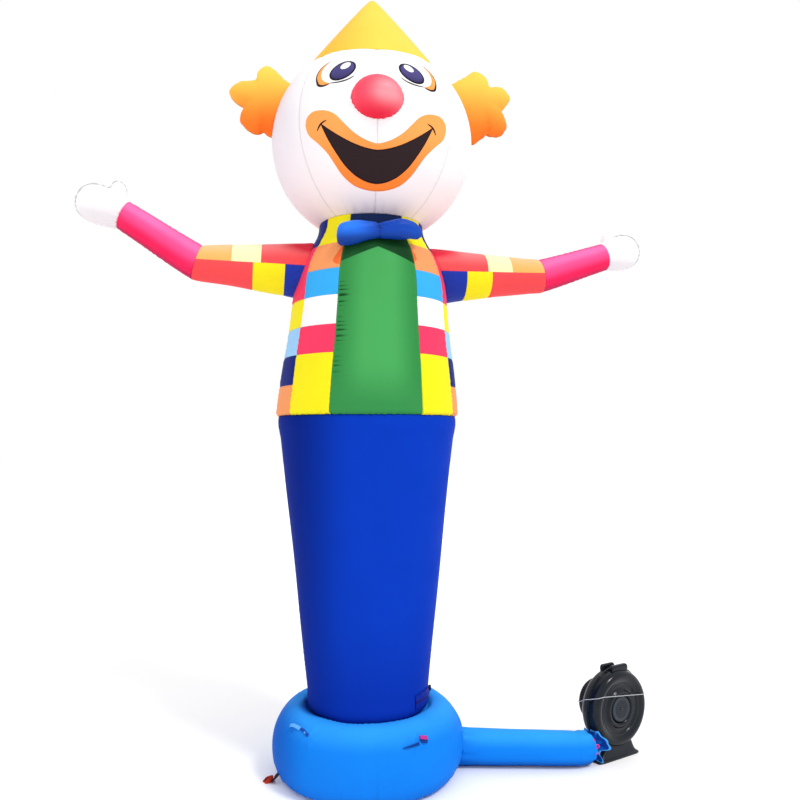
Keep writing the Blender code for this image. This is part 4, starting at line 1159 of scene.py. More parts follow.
def relaxed(thing, rounds):
    """Even out steps: each point moves half way to the middle of its neighbours."""
    a, b = read(thing.data.edges, "vertices", 2, np.int32).T
    points = points_of(thing)
    share = np.bincount(concatenate([a, b]), minlength=len(points))[:, None].clip(min=1)
    for _ in range(rounds):
        total = np.zeros_like(points)
        np.add.at(total, a, points[b])
        np.add.at(total, b, points[a])
        points = (points + total / share) / 2
    set_points(thing, points)


def blow_up(things, held, pressure=4.0, cap=0.007, frames=20):
    """Cloth with air pressure on all things at once; held gives each thing's pinned share."""
    for thing, pinned in zip(things, held):
        group = thing.vertex_groups.new(name="held")
        for level in (.25, .5, .75, 1.0):
            inside = np.flatnonzero((pinned > level - 0.25) & (pinned <= level)).tolist()
            group.add(inside, level, "REPLACE")
        step = thing.modifiers.new("air", "CLOTH")
        for title, value in (("use_pressure", True), ("uniform_pressure_force", pressure),
                             ("vertex_group_mass", "held"), ("quality", 5),
                             ("tension_stiffness", 10.0), ("compression_stiffness", 10.0)):
            setattr(step.settings, title, value)
        step.settings.effector_weights.gravity = 0.0
        step.collision_settings.use_collision = False
        step.point_cache.frame_start, step.point_cache.frame_end = 1, frames
    for number in range(1, frames + 1):
        bpy.context.scene.frame_set(number)
    graph = bpy.context.evaluated_depsgraph_get()
    for thing in things:
        before = points_of(thing)
        move = read(thing.evaluated_get(graph).data.vertices, "co") - before
        far = norm(move, axis=1, keepdims=True)
        thing.modifiers.clear()
        thing.vertex_groups.clear()
        set_points(thing, before + move * minimum(1.0, cap / maximum(far, 1e-9)))
        print(f"{thing.name}: blown up by {far.mean() * 1000:.1f} mm")
    bpy.context.scene.frame_set(1)


def finish_blown(thing, finish, slot, node, fill=0.9, **marks):
    """Give a blown-up piece its marks, its finish and one subdivision, and dress it."""
    for title, values in marks.items():
        keep_mark(thing.data, title, values)
    thing.data.materials.clear()
    thing.data.materials.append(finish)
    thing.data.shade_smooth()
    step = thing.modifiers.new("finer", "SUBSURF")
    step.levels = step.render_levels = 1
    dress(thing, slot, node, fill=fill)


# %% [markdown]
# ## Hair tufts
#
# Two lobed pieces of orange nylon, sewn along the rim and filled with air. Between the lobes
# the rim is drawn in, and creases run from there towards the middle.

# %% Hair tufts
TUFT_THICK, TUFT_TILT = 0.057, 8.0
RIM_LOSS = 0.0065           # what the even mesh rounds off at the sharp rim
TUFTS = {                   # middle of the outline, then its points: degrees anticlockwise, radius
    "left": ((-.487, -.03, 2.984), [
        (-74, .176), (-88, .149), (-102, .152), (-123, .142), (-137, .132), (-157, .092),
        (178, .131), (166, .15), (144, .131), (108, .098), (100, .123), (82, .155), (68, .145),
        (43, .133), (27, .148), (0, .183), (-45, .188)]),
    "right": ((.52, -.02, 3.036), [
        (-99, .194), (-76, .147), (-51, .17), (-35, .162), (-11, .115), (18, .159), (40, .143),
        (62, .104), (80, .135), (101, .153), (118, .139), (136, .142), (152, .158), (180, .188),
        (-135, .198)])}
NOTCHES = {"left": (-88, -157, 108), "right": (-76, -11, 62)}


def tuft_frame(side):
    """The tuft's middle, the direction across it, and the direction that it faces."""
    turn = radians(-TUFT_TILT if side == "left" else TUFT_TILT)
    across = array([cos(turn), sin(turn), 0.0])
    return array(TUFTS[side][0]), across, cross(across, UP)


def tuft_blank(side):
    """The outline's spokes times cos(p)^0.8, lifted by the thickness times sin(p)."""
    middle, across, front = tuft_frame(side)
    table = array(TUFTS[side][1] + TUFTS[side][1][:1], float)
    angle = np.unwrap(radians(table[:, 0]))
    outline = smooth_line(column_stack([cos(angle), sin(angle)]) * table[:, 1:], step=0.006)[:-1]
    outline = outline * (1 + RIM_LOSS / norm(outline, axis=1, keepdims=True))
    spokes = outline[:, :1] * across + outline[:, 1:] * UP
    puff = radians(linspace(-80, 80, 25))[:, None, None]
    grid = middle + spokes[None] * cos(puff) ** 0.8 + front * (TUFT_THICK * sin(puff))
    tips = (middle - front * TUFT_THICK, middle + front * TUFT_THICK)
    return skin("tuft_blank_" + side, grid, [], tips)


def tuft_marks(thing, side):
    """Distance from the rim's seam, the run along it, the lobes' creases, and the reach."""
    middle, across, front = tuft_frame(side)
    away = points_of(thing) - middle
    x, y, deep = away @ across, away[:, 2], away @ front
    angle, reach = np.arctan2(y, x), hypot(x, y)
    crease = np.zeros(len(away))
    for notch in radians(NOTCHES[side]):
        off = abs((angle - notch + pi) % (2 * pi) - pi) * reach
        crease += exp(-(off / 0.011) ** 2) * clip((reach - 0.035) / 0.09, 0, 1)
    return abs(deep), angle * 0.14, crease, reach


# Painted light and shade: each tuft yellow high up and deep red-orange low down, and darker beside
# its rim seam.
tuft_cloths = {side: cloth("orange nylon " + side, (.92, .6, .085), [
    ("Z", high, low, (.9, .105, .008))], rim=(.014, (.4, .085, .008), .75), on_uv=False)
    for side, low, high in (("left", 2.82, 3.15), ("right", 2.85, 3.2))}
tufts = {side: remeshed("tuft_shell_" + side, [tuft_blank(side)], .0055) for side in TUFTS}
for tuft in tufts.values():
    relaxed(tuft, 3)

# %% [markdown]
# ## Mittens
#
# A flat-sewn hand, blown up: a palm with a round end, and a stout thumb that stands up from it.
# The two overlap as solids and become one skin.

# %% Mittens
PALM_ROWS = [               # share of the length, half width, half thickness, shift to the thumb
    (.00, .0635, .0635, .000), (.14, .07, .064, .002), (.34, .0805, .0645, .006),
    (.56, .087, .0625, .01), (.76, .08, .056, .013), (.91, .057, .04, .013),
    (.98, .028, .021, .012)]
THUMB_ROWS = [              # along the hand, towards the thumb's side, radius
    (.04, .000, .033), (.044, .04, .04), (.051, .074, .04), (.057, .104, .036),
    (.061, .127, .0262), (.063, .137, .0125)]
THUMB_SHARES = {            # how far along the hand the thumb is moved, share of its length, radius
    "left": (0.0, 1.0, 1.0), "right": (-.011, .82, .75)}
SEAM_LEAN = {"left": (-.2, 1.0, .28), "right": (.2, 1.0, .28)}     # across the rim's seam


def mitten_frame(side):
    """Wrist, finger tip, the way along the hand, across the cuff, and towards the thumb."""
    elbow, wrist, tip = ARMS[side]
    along = unit(tip - wrist)
    cuff = unit(unit(wrist - elbow) + along)
    return wrist, tip, along, cuff, unit(cross(cross(along, UP), along))


def mitten_blank(side):
    """Palm and thumb as two closed tubes that overlap."""
    wrist, tip, along, cuff, thumb_way = mitten_frame(side)
    turn, palm = full_turn(72), smooth_line(PALM_ROWS, step=0.02)
    middles = wrist + along * norm(tip - wrist) * palm[:, :1] + thumb_way * palm[:, 3:]
    middles[0] = wrist + cuff * GAP
    ways = unit(along + (cuff - along) * clip(1 - palm[:, :1] / 0.2, 0, 1))
    hand = skin("palm_blank", rings_along(middles, ways, palm[:, 2], palm[:, 1], turn), [],
                (None, tip + thumb_way * 0.012))
    shift, share, stout = THUMB_SHARES[side]
    thumb = smooth_line(THUMB_ROWS, step=0.006) * (1, share, stout) + (shift, 0, 0)
    middles = wrist + along * thumb[:, :1] + thumb_way * thumb[:, 1:2]
    ways = broadcast_to(thumb_way, middles.shape)
    return [hand, skin("thumb_blank", rings_along(
        middles, ways, thumb[:, 2], thumb[:, 2], turn[::2], up=along), [])]


hands = {side: remeshed("mitten_shell_" + side, mitten_blank(side), .0052) for side in ARMS}
for hand in hands.values():
    relaxed(hand, 5)
# Painted shade: each mitten greyer low down, and a grey band beside its seam, which runs round its
# outline.
hand_whites = {side: cloth("mitten nylon " + side, (.9, .89, .9), [
    ("Z", high, low, (.74, .68, .71))], rim=(.017, (.42, .42, .44), .85),
    thread=(.3, .3, .33), on_uv=False)
    for side, low, high in (("left", 2.42, 2.5), ("right", 2.29, 2.37))}

# %% [markdown]
# ## The bow tie
#
# One strip of blue nylon, pinched in the middle. A crease runs along each lobe, and the cloth
# is gathered where it is pinched and at both ends.

# %% Bow tie
TIE_MIDDLE = array((.01, -.3, 2.338))
TIE_SLIM, TIE_HALF = 0.004, .045    # how much flatter the lobes lie than the rows, half height
TIE_ROWS = [                # along X, drop, half height, half depth, set back
    (-.176, .024, .018, .013, .012), (-.168, .023, .039, .027, .01),
    (-.142, .019, .053, .037, .004),
    (-.1, .012, .055, .041, 0), (-.052, .004, .045, .037, 0), (-.014, 0, .035, .029, .003),
    (0, 0, .031, .025, .004), (.014, -.001, .035, .029, .003), (.052, -.005, .044, .036, 0),
    (.1, -.01, .049, .038, .002), (.142, -.01, .041, .032, .01), (.17, -.004, .03, .023, .018),
    (.187, -.001, .015, .012, .021)]


def tie_blank():
    """The strip: ovals along X whose middles drop and set back by the rows."""
    rows = smooth_line(TIE_ROWS, step=0.004, measure=3)
    middles = TIE_MIDDLE + rows[:, [0, 4, 1]] * (1, 1, -1)
    ways = broadcast_to((1.0, 0, 0), middles.shape)
    return skin("tie_blank", rings_along(middles, ways, rows[:, 3], rows[:, 2], full_turn(72)), [])


tie = remeshed("tie_shell", [tie_blank()], .0045)
relaxed(tie, 3)
# Painted shade: the tie darker low down and in its pinch and puckers; it also darkens towards +X.
tie_cloth = cloth("tie nylon", (.022, .19, .92), [
    ("X", -.12, .01, (.003, .044, .36)), ("Z", 2.345, 2.285, (.002, .026, .22)),
    ("crease", .1, .85, (.001, .01, .1))], on_uv=False, rough=0.42, shine=0.12)

# %% Blow all of them up at once
held = []
for side, tuft in tufts.items():
    gap, _, crease, _ = tuft_marks(tuft, side)
    held.append(clip(maximum(1 - gap / 0.006, crease), 0, 1))
for side, hand in hands.items():
    wrist, _, along, cuff, _ = mitten_frame(side)
    held.append(clip(1 - ((points_of(hand) - wrist) @ cuff - 0.004) / 0.012, 0, 1))
from_middle = abs(points_of(tie)[:, 0] - TIE_MIDDLE[0])
held.append(clip(maximum(1 - from_middle / 0.02, (from_middle - 0.16) / 0.012), 0, 1))
blow_up([*tufts.values(), *hands.values(), tie], held)

# %% Seams and creases of the blown-up pieces
for side, tuft in tufts.items():
    gap, run, crease, reach = tuft_marks(tuft, side)
    off = groove(gap, .0012, .006) - 0.0075 * crease + all_gathers(
        (gap, run, .0013, .028, .03, 1.5),
        (.02 * (1 - crease), reach, .0016, .012, .022, .7))
    set_points(tuft, outside_head(push_out(tuft, off), .0004))
    finish_blown(tuft, tuft_cloths[side], "orange_cloth", "hair_tuft_" + side, seam_gap=gap,
                 seam_run=run)

for side, hand in hands.items():
    wrist, _, along, cuff, thumb_way = mitten_frame(side)
    points = points_of(hand)
    away = points - wrist
    gap = abs((points - points.mean(axis=0)) @ unit(SEAM_LEAN[side]))
    run, cuff_gap = away @ along, away @ cuff
    around = np.arctan2(away @ cross(thumb_way, along), away @ thumb_way) * 0.064
    off = groove(gap, .002, .006) * (cuff_gap > 0.01) + all_gathers(
        (gap, run + away @ thumb_way, .0022, .024, .026, .4),
        (cuff_gap, around, .0026, .03, .024, 2.4))
    set_points(hand, push_out(hand, off))
    finish_blown(hand, hand_whites[side], "white_cloth", "mitten_" + side, seam_gap=gap,
                 seam_run=run)

away = points_of(tie) - TIE_MIDDLE
along, front = away[:, 0], -away[:, 1]
rows = array(TIE_ROWS)
rise = away[:, 2] - interp(along, rows[:, 0], -rows[:, 1])
turn = np.arctan2(rise, front)
around = turn * TIE_HALF
lobes = clip((abs(along) - 0.02) / 0.03, 0, 1) * clip((.165 - abs(along)) / 0.03, 0, 1)
pinch = exp(-((along + 0.006 * sin(9 * around)) / 0.0055) ** 2)
puckers = all_gathers((abs(along), around, 1.0, .03, .016, .2),
                      (.175 - abs(along), around, 1.0, .036, .017, 1.7))
off = (.003 * puckers - 0.002 * pinch - TIE_SLIM * abs(sin(turn)) * lobes
       - 0.005 * exp(-((rise + 0.004) / 0.01) ** 2) * lobes * (front > 0))
points = push_out(tie, off)
reach = hypot(points[:, 0] - interp(points[:, 2], *LEAN_ROWS.T), points[:, 1])
coat = by_height(COAT_ROWS, points[:, 2]) + 0.0006
points[:, :2] *= maximum(1.0, coat / maximum(reach, 1e-6))[:, None]
set_points(tie, points)
# crease marks the pinch and the puckers' valleys, for painted shade.
finish_blown(tie, tie_cloth, "tie_blue_cloth", "bow_tie", seam_gap=np.ones(len(points)),
             seam_run=np.zeros(len(points)), crease=maximum(.55 * pinch, -.8 * puckers))

# %% [markdown]
# ## The nose
#
# A red ball, half sunk in the face, of two pieces whose seam runs level round it and is
# gathered left and right.

# %% Nose
NOSE_LIFT, NOSE_HALF, NOSE_OUT, NOSE_MEAN_R = 4.5, (.104, .091), .078, .1
# Painted highlight to the right of the nose's middle, and painted shade: darker red low down.
nose_red = cloth("nose nylon", (.88, .058, .11), [
    ("glow", 0.0, 1.0, (.92, .29, .33)), ("Z", 2.83, 2.75, (.72, .006, .035))],
    seams=0.0, rough=0.45, shine=0.15)


def nose():
    """Half an oval ball: rings that shrink with cos(p) and step out with sin(p)."""
    lift = radians(NOSE_LIFT)
    out = out_from_axis(radians(HEAD_TURN)) * cos(lift) + UP * sin(lift)
    seat = HEAD_CENTRE + out * (HEAD_R - 0.012)
    p = radians(linspace(-10, 87, 46))[:, None]
    t = radians(samples(0, 360, 3.0, (0, 180), (1.2, 3.0), turn=True))
    middles = seat + out * NOSE_OUT * sin(p)
    gap = nearest(t, (0, pi, 2 * pi))[None] * NOSE_MEAN_R * cos(p)
    run = p * 0.09
    off = gathers(gap, run, .003, .03, .018, .6)
    off = (off + gathers(run, t[None] * NOSE_MEAN_R, .0026, .026, .022, 1.3)) * cos(p) ** 0.5
    grid = rings_along(middles, broadcast_to(out, middles.shape),
                       *(half * cos(p) + off for half in NOSE_HALF), t)
    grid[:14] = outside_head(grid[:14], .0002)
    # The painted highlight's middle: right of and a little below the nose's seat.
    away = hypot(grid[..., 0] - seat[0] - 0.034, grid[..., 2] - seat[2] + 0.008)
    return skin("nose_shell", grid, [nose_red], (seat + out * 0.004, seat + out * NOSE_OUT),
                gap=gap, run=run, glow=exp(-(away / 0.072) ** 2))


dress(nose(), "red_cloth", "nose", fill=0.95)

# %% [markdown]
# ## The air duct
#
# A tube of azure nylon lies on the ground, starts on the ring's own surface and has one seam.

# %% Duct
AIR_ROWS = [                # x, y, height of the middle, radius
    (.385, -.008, .078, .0775), (.54, -.038, .0775, .077), (.7, -.068, .076, .0755),
    (.835, -.092, .0745, .074), (.9, -.101, .0735, .073), (.936, -.1045, .0722, .0715),
    (.962, -.099, .0728, .0712), (.979, -.093, .0734, .068), (.99, -.0874, .0742, .056),
    (.9985, -.0838, .0745, .0385)]
DUCT_SEAM, DUCT_R = 205.0, .075    # degrees round from the front over the top: low behind
GATHER_X = 0.936            # where the gathered end begins; it overlaps the duct by four rings
# Painted light and shade: the duct lighter on top and darker towards the ground.
DUCT_PAINTED_SHADING = [("Z", .09, .148, (.03, .345, .82)), ("Z", .055, .008, (.002, .068, .36))]
duct_azure = cloth("azure duct nylon", (.006, .205, .76), DUCT_PAINTED_SHADING, shine=0.02)


def air_line(step):
    """Middles, directions and radii along the duct, every step metres, and the join's row."""
    line = smooth_line(AIR_ROWS, step=step)
    ways = np.gradient(line[:, :2], axis=0)
    join = int(np.argmin(abs(line[:, 0] - GATHER_X)))
    return line[:, :3], unit(np.insert(ways, 2, 0.0, axis=1)), line[:, 3], join


def ring_radius(heights):
    """The base ring's outer radius at some heights up its side."""
    return by_height(RING_ROWS[:9], heights)


def air_duct():
    """The tube from the ring's side to the seam before its gathered end."""
    *line, join = air_line(.0075)
    middles, ways, radii = (part[:join + 1] for part in line)
    radii[-2:] -= (.0004, .0014)
    angles = samples(0, 360, 3.6, (DUCT_SEAM,), (1.2, 3.0), turn=True)
    turn = radians(angles)
    grid = rings_along(middles, ways, radii, radii, turn)
    first = (hypot(grid[..., 0], grid[..., 1]) < ring_radius(grid[..., 2]) - 0.0015).sum(axis=0)
    block = int(first.max()) + 2
    start = grid[first, arange(len(turn))]
    share = linspace(0, 1, block + 1)[:-1, None, None]
    grid = concatenate([start + (grid[block] - start) * share, grid[block:]])
    centre = grid.mean(axis=1, keepdims=True)
    run, round_it = run_along(centre[:, 0])[:, None], turn[None] * DUCT_R
    gap = round_gap(angles, (DUCT_SEAM,), np.full((1, 1), DUCT_R))
    off = groove(gap, .0014, .005) + all_gathers(
        (gap, run, .0012, .022, .03, .7), (run, round_it, .006, .06, .04, 1.9))
    off = off + soft_swell(round_it, run, .0016, .14, .8)
    off = off * clip(run / 0.01, 0, 1) * clip((run[-1] - run) / 0.12, 0, 1)
    grid = grid + unit(grid - centre) * off[..., None]
    grid[..., 2] = maximum(grid[..., 2], .0004)
    return skin("duct_shell", grid, [duct_azure], gap=gap, run=run)


dress(air_duct(), "azure_cloth", "air_duct", fill=0.9)

# %% [markdown]
# ## The gathered end
#
# Over the nozzle a tie draws the duct in. Past the tie its loose edge spreads into uneven
# petals, given as rows that go round from the top towards the front.

# %% Gathered end and petals
BLOWER_AT, BLOWER_TURN, SHAFT_Z = (1.171, -.064), radians(23.6), .216
NOZZLE_DEPTH, NOZZLE_Z, PLEATS = 0.052, .075, 12
PETAL_ROWS = array([        # degrees, along the face, out from the nozzle's middle
    (0, -.158, .07), (40, -.146, .08), (70, -.128, .086), (88, -.118, .086), (104, -.14, .062),
    (118, -.15, .054), (137, -.137, .092), (150, -.148, .072), (165, -.15, .063), (190, -.15, .06),
    (230, -.146, .066), (275, -.142, .07), (320, -.152, .068), (360, -.158, .07)])


def at_blower(along, depth, height):
    """A point of the blower's own frame, turned about its place on the floor."""
    along, depth, height = np.broadcast_arrays(along, depth, height)
    c, s = cos(BLOWER_TURN), sin(BLOWER_TURN)
    return stack([BLOWER_AT[0] + along * c - depth * s, BLOWER_AT[1] + along * s + depth * c,
                  height], axis=-1)


def gathered_end():
    """Rings from the duct to the tie, then out to the petals' edge and back inside it."""
    step = 0.004
    *line, join = air_line(step)
    middles, ways, radii = (part[join - 4:] for part in line)
    radii[:5] += (-.0014, -.0002, .0005, .0005, .0003)
    turn, drawn = full_turn(12 * PLEATS), linspace(0, 1, len(radii))[:, None]
    ways = unit(ways + (FACE_ALONG - ways) * drawn ** 2)
    wander = 0.35 * sin(2 * turn + 1.0) + 0.5 * sin(3 * turn)
    pleat = cos(PLEATS * turn + wander)
    radius = radii[:, None] + 0.006 * drawn ** 2 * pleat * (1 - 0.35 * drawn)
    tube = rings_along(middles, ways, radius, radius, turn)
    clock = (pi / 2 - turn) % (2 * pi)
    edge = smooth_line(PETAL_ROWS, interp(np.degrees(clock), PETAL_ROWS[:, 0],
                                          run_along(PETAL_ROWS[:, :2])))
    out = edge[:, 2] + 0.005 * pleat
    rim = at_blower(edge[:, 1], NOZZLE_DEPTH - out * sin(clock), NOZZLE_Z + out * cos(clock))
    middle_at = at_blower(edge[:, 1], NOZZLE_DEPTH, NOZZLE_Z)
    neck, steps = tube[-1], linspace(0, 1, 15)[1:, None, None]
    swell = sin(pi * steps) * unit(rim - middle_at) * 0.004
    skirt = neck + (rim - neck) * (steps ** 1.15) - swell
    inner = stack([rim + (middle_at - rim) * share + (neck.mean(axis=0) - middle_at) * back
                   for share, back in ((.03, .01), (.1, .16), (.22, .36), (.36, .55))])
    grid = concatenate([tube, skirt, inner])
    grid[..., 2] = maximum(grid[..., 2], .0008)
    fall = arange(len(tube))[::-1, None] * step + 0 * turn
    deep_in = concatenate([fall, norm(rim - neck, axis=-1) * steps[..., 0], 0 * inner[..., 0]])
    petal = concatenate([0 * fall, steps[..., 0] + 0 * turn, 0 * inner[..., 0]])
    print("petals reach", round(float(out.max()), 3), "m out from the nozzle's middle")
    return skin("gathered_end", grid, [gather_azure], (tube[0].mean(axis=0), grid[-1].mean(axis=0)),
                hollow=1 - deep_in / 0.03, petal=petal), neck


FACE_ALONG = at_blower(1, 0, 0) - at_blower(0, 0, 0)
FACE_OUT = at_blower(0, -1, 0) - at_blower(0, 0, 0)
# Painted light and shade: the petals dark with a lit pale edge, and the hollow at the tie painted
# near black.
gather_azure = cloth("gathered azure nylon", (.006, .205, .76), DUCT_PAINTED_SHADING + [
    ("petal", .05, .3, (.003, .065, .36)), ("petal", .62, .95, (.07, .38, .86)),
    ("hollow", .25, .9, (.001, .02, .2))], shine=0.02)
gather, neck_ring = gathered_end()
dress(gather, "azure_cloth", "duct_gather", fill=0.4)

# %% [markdown]
# ## The magenta tie
#
# A soft cord is wound twice round the duct's neck and knotted in front, with short bows. Its
# twist is in the finish.

# %% Tie cord
def cord_finish(name, colour, deep, twist=260.0):
    """Twisted cord: grooves that run slanting round it, from its UV map in metres, painted dark as
    shade.
    """
    made, tree, where, uv = new_finish(name)
    part = node(tree, "SeparateXYZ", None, {0: uv}).outputs
    slant = math(tree, "ADD", *(times(tree, part[k], twist) for k in (0, 1)))
    strand = math(tree, "ABSOLUTE", math(tree, "SINE", times(tree, slant, pi)))
    base = mixed(tree, spread(tree, strand, 0.0, .6), deep, colour)
    fuzz = spread(tree, noise(tree, where, 900.0), .4, .8, 0.0, .3)
    return end_finish(made, mixed(tree, fuzz, base, deep), .6, .15, strand, .8, .0006)


def round_cord(name, line, radius, finish, closed=False, around=12):
    """A round cord along a line of points."""
    line = np.asarray(line, float)
    ways = unit(np.roll(line, -1, axis=0) - np.roll(line, 1, axis=0) if closed
                else np.gradient(line, axis=0))
    radius = np.full(len(line), radius)
    grid = rings_along(line, ways, radius, radius, full_turn(around), up=(.31, .17, .93))
    return skin(name, grid, [finish], closed=closed)


magenta = cord_finish("magenta cord", (.9, .045, .4), (.55, .012, .2))
TIE_R, KNOT_R, BOW_R = 0.0036, .004, .0026
KNOT_AT = array((.9975, -.141, .084))
BOWS = ((.024, .009, 38), (.023, .009, 148), (.026, .006, -62), (.022, .006, -118))


def tie_line():
    """Two turns round the neck, pushed out by the cord's radius."""
    middle = neck_ring.mean(axis=0)
    smooth = norm(neck_ring - middle, axis=1).max() + TIE_R * 0.6
    out = np.tile(unit(neck_ring - middle), (2, 1))
    shift = (linspace(0, 2, len(out), endpoint=False) - 1) * TIE_R * 1.05
    return middle + out * smooth + shift[:, None] * FACE_ALONG


def knot_line(size):
    """A trefoil: (sin t + 2 sin 2t, -sin 3t, cos t - 2 cos 2t), scaled to a size."""
    t = full_turn(90)
    return stack([sin(t) + 2 * sin(2 * t), -sin(3 * t), cos(t) - 2 * cos(2 * t)], -1) * size / 3


def bow_line(lengthwise, wide, slant):
    """A bow: out and back along a drop shape, turned by the slant."""
    t = linspace(.06, 2 * pi - 0.06, 40)
    x, z = lengthwise * (1 - cos(t)) / 2, wide * sin(t) * sin(t / 2)
    c, s = cos(radians(slant)), sin(radians(slant))
    return KNOT_AT + stack([x * c - z * s, -.004 - 0.006 * sin(t / 2), x * s + z * c], axis=-1)


dress(round_cord("duct_tie_turns", tie_line(), TIE_R, magenta), "magenta_cord", "duct_tie")
knot = [round_cord("duct_tie_knot", KNOT_AT + knot_line(.013), KNOT_R, magenta, closed=True)]
for number, sizes in enumerate(BOWS):
    knot.append(round_cord(f"duct_tie_bow_{number}", bow_line(*sizes), BOW_R, magenta))
for length in knot:
    dress(length, "magenta_cord")

# %% [markdown]
# ## Moulded plastic
#
# The blower is glossy black plastic, with the faint orange-peel of the mould and a few scuffs
# where it has been carried. Both are one node group.

# %% Plastic finish
def plastic_group():
    """Moulded skin: a fine cell pattern as height, and sparse scuffs as a mask."""
    group, want, give = new_group("moulded_skin", ("Height", "Scuffs"), Vector=None, Grain=700.0)
    put(group, give["Height"], node(group, "TexVoronoi", "Distance",
                                    {"Vector": want["Vector"], "Scale": want["Grain"]}))
    marks = noise(group, want["Vector"], 26.0, 8.0, .7)
    put(group, give["Scuffs"], spread(group, marks, .58, .72))
    return group


MOULDED = plastic_group()


def plastic(name, colour, rough=0.17, scuff=0.15, shine=0.24):
    """A moulded plastic: its colour, lighter and rougher where it is scuffed."""
    made, tree, where, _ = new_finish(name)
    moulded = node(tree, "Group", None, {}, node_tree=MOULDED)
    put(tree, moulded.inputs["Vector"], where)
    worn = times(tree, moulded.outputs["Scuffs"], scuff)
    cloudy = spread(tree, noise(tree, where, 9.0, 4.0), .35, .8, 0.0, .5)
    base = mixed(tree, cloudy, colour, shade(colour, 1.5))
    base = mixed(tree, worn, base, shade(colour, 2.2, .02))
    rough = math(tree, "ADD", times(tree, worn, .5), rough)
    return end_finish(made, base, rough, shine, moulded.outputs["Height"], .25, .0002)


black = plastic("black moulded plastic", (.0045, .007, .011))
black_drum = plastic("black drum plastic", (.0015, .003, .0075), shine=0.1)
black_worn = plastic("black foot plastic", (.0075, .0105, .016), rough=0.36, scuff=0.5)
grey_plastic = plastic("grey vent plastic", (.03, .036, .047), rough=0.5, shine=0.2)

# %% [markdown]
# ## The blower
#
# The housing is a profile carried round the shaft: a dished face with raised rings, a rolled
# crest, a thin flange where its two halves meet, and a drum behind.

# %% Housing and motor
HOUSING_ROWS = [            # radius, depth from the face
    (.03, .016), (.058, .016), (.061, .013), (.066, .006), (.072, .0035), (.078, .004),
    (.083, .009), (.087, .013), (.0945, .0158), (.104, .016), (.1125, .012), (.1155, .0085),
    (.118, .0092), (.122, .008), (.131, .0035), (.146, .0000), (.156, .0026), (.163, .008),
    (.169, .018), (.172, .03), (.1728, .04), (.1735, .0478), (.1808, .0486), (.181, .052),
    (.1808, .0554), (.1735, .0562), (.1722, .068), (.17, .08), (.163, .092), (.15, .1),
    (.128, .1032), (.104, .104)]
MOTOR_ROWS = [
    (.1, .1043), (.1003, .118), (.0985, .1196), (.0985, .1224), (.1003, .124), (.1003, .133),
    (.0985, .1346), (.0985, .1374), (.1003, .139), (.1, .16), (.097, .176), (.09, .185),
    (.076, .1925), (.06, .1965), (.04, .1976), (.02, .198)]
VENT_ROWS = [(.056, .0157), (.0565, .009), (.0558, .0055), (.054, .004), (.0505, .0036),
             (.049, .0048), (.047, .0048)]


def turned_on_shaft(name, rows, finish, ends, step=0.0022, around=96):
    """A profile of radius and depth carried round the blower's shaft."""
    profile, turn = smooth_line(rows, step=step), full_turn(around)
    radius, depth = profile.T[..., None]
    grid = at_blower(radius * cos(turn), depth, SHAFT_Z + radius * sin(turn))
    return skin(name, grid, [finish], tuple(at_blower(0.0, end, SHAFT_Z) for end in ends))


dress(turned_on_shaft("housing_shell", HOUSING_ROWS, black, (.016, .104), around=120),
      "black_plastic", "blower_housing")
dress(turned_on_shaft("motor_shell", MOTOR_ROWS, black_drum, (.1043, .199)), "black_plastic",
      "blower_motor_cap")
dress(turned_on_shaft("vent_disc", VENT_ROWS, grey_plastic, (.0157, .0048), step=0.0015),
      "grey_plastic", "blower_vent")

# %% [markdown]
# ## Painted holes and bolts
#
# Rings of near-black discs on the grey disc stand for its small holes: painted shade where the
# holes are. Bolts hold the housing's two halves together. All copies of a kind are worked out
# in one array and written as one mesh.

# %% Repeated small pieces
def repeated(name, middles, way, profile, finish, slot, around=12):
    """Copies of one small shape: profile rows of radius and height above its seat."""
    ways, profile = unit(broadcast_to(way, middles.shape)), array(profile)
    turn = full_turn(around)[:, None] + 0.26
    side = unit(cross(ways, (.13, .21, .97)))
    ring = cos(turn) * side[:, None] + sin(turn) * cross(side, ways)[:, None]
    up = ways[:, None] * profile[:, 1:]
    grid = middles[:, None, None] + ring[:, None] * profile[:, None, :1] + up[:, :, None]
    ends = middles[:, None] + up[:, [0, -1]]
    points = concatenate([grid.reshape(len(middles), -1, 3), ends], axis=1)
    rows, groups = len(profile), []
    for faces in (grid_quads(rows, around, True)[0], concatenate(end_fans(rows, around))):
        first = (arange(len(middles)) * points.shape[1])[:, None, None]
        faces = (faces[None] + first).reshape(-1, faces.shape[1])
        groups.append((faces, np.zeros((*faces.shape, 2)), np.zeros(len(faces), int)))
    dress(write_mesh(name, points.reshape(-1, 3), groups, [finish], smooth=False), slot)


def on_face(radii, counts, depth, phase=0.0):
    """Points evenly round some circles on the blower's face."""
    angle = concatenate([full_turn(n) + phase * k for k, n in enumerate(counts)])
    radius = np.repeat(radii, counts)
    return at_blower(radius * cos(angle), depth, SHAFT_Z + radius * sin(angle))


# Painted shade: near-black discs stand for the vent's holes, which are not cut.
hole_shade_black = plastic("painted hole shade", (.002, .002, .003), rough=0.7, shine=0.02, scuff=0.0)
repeated("vent_hole_shade_discs", on_face((0.0, .0095, .0185, .0275, .0365), (1, 6, 12, 18, 24), .0048, .2),
         FACE_OUT, [(.0029, -.0006), (.0029, .00045), (.0022, .0003)], hole_shade_black, "black_plastic",
         around=10)
repeated("vent_hub", on_face((0.0,), (1,), .004), FACE_OUT,
         [(.0072, -.001), (.0072, .0012), (.0058, .0024)], grey_plastic, "grey_plastic", around=24)
repeated("housing_bolts", on_face((.1775,), (10,), .0484), FACE_OUT,
         [(.0042, -.0016), (.0042, .0012), (.0034, .0026), (.0012, .0026)], black_worn,
         "black_plastic", around=6)

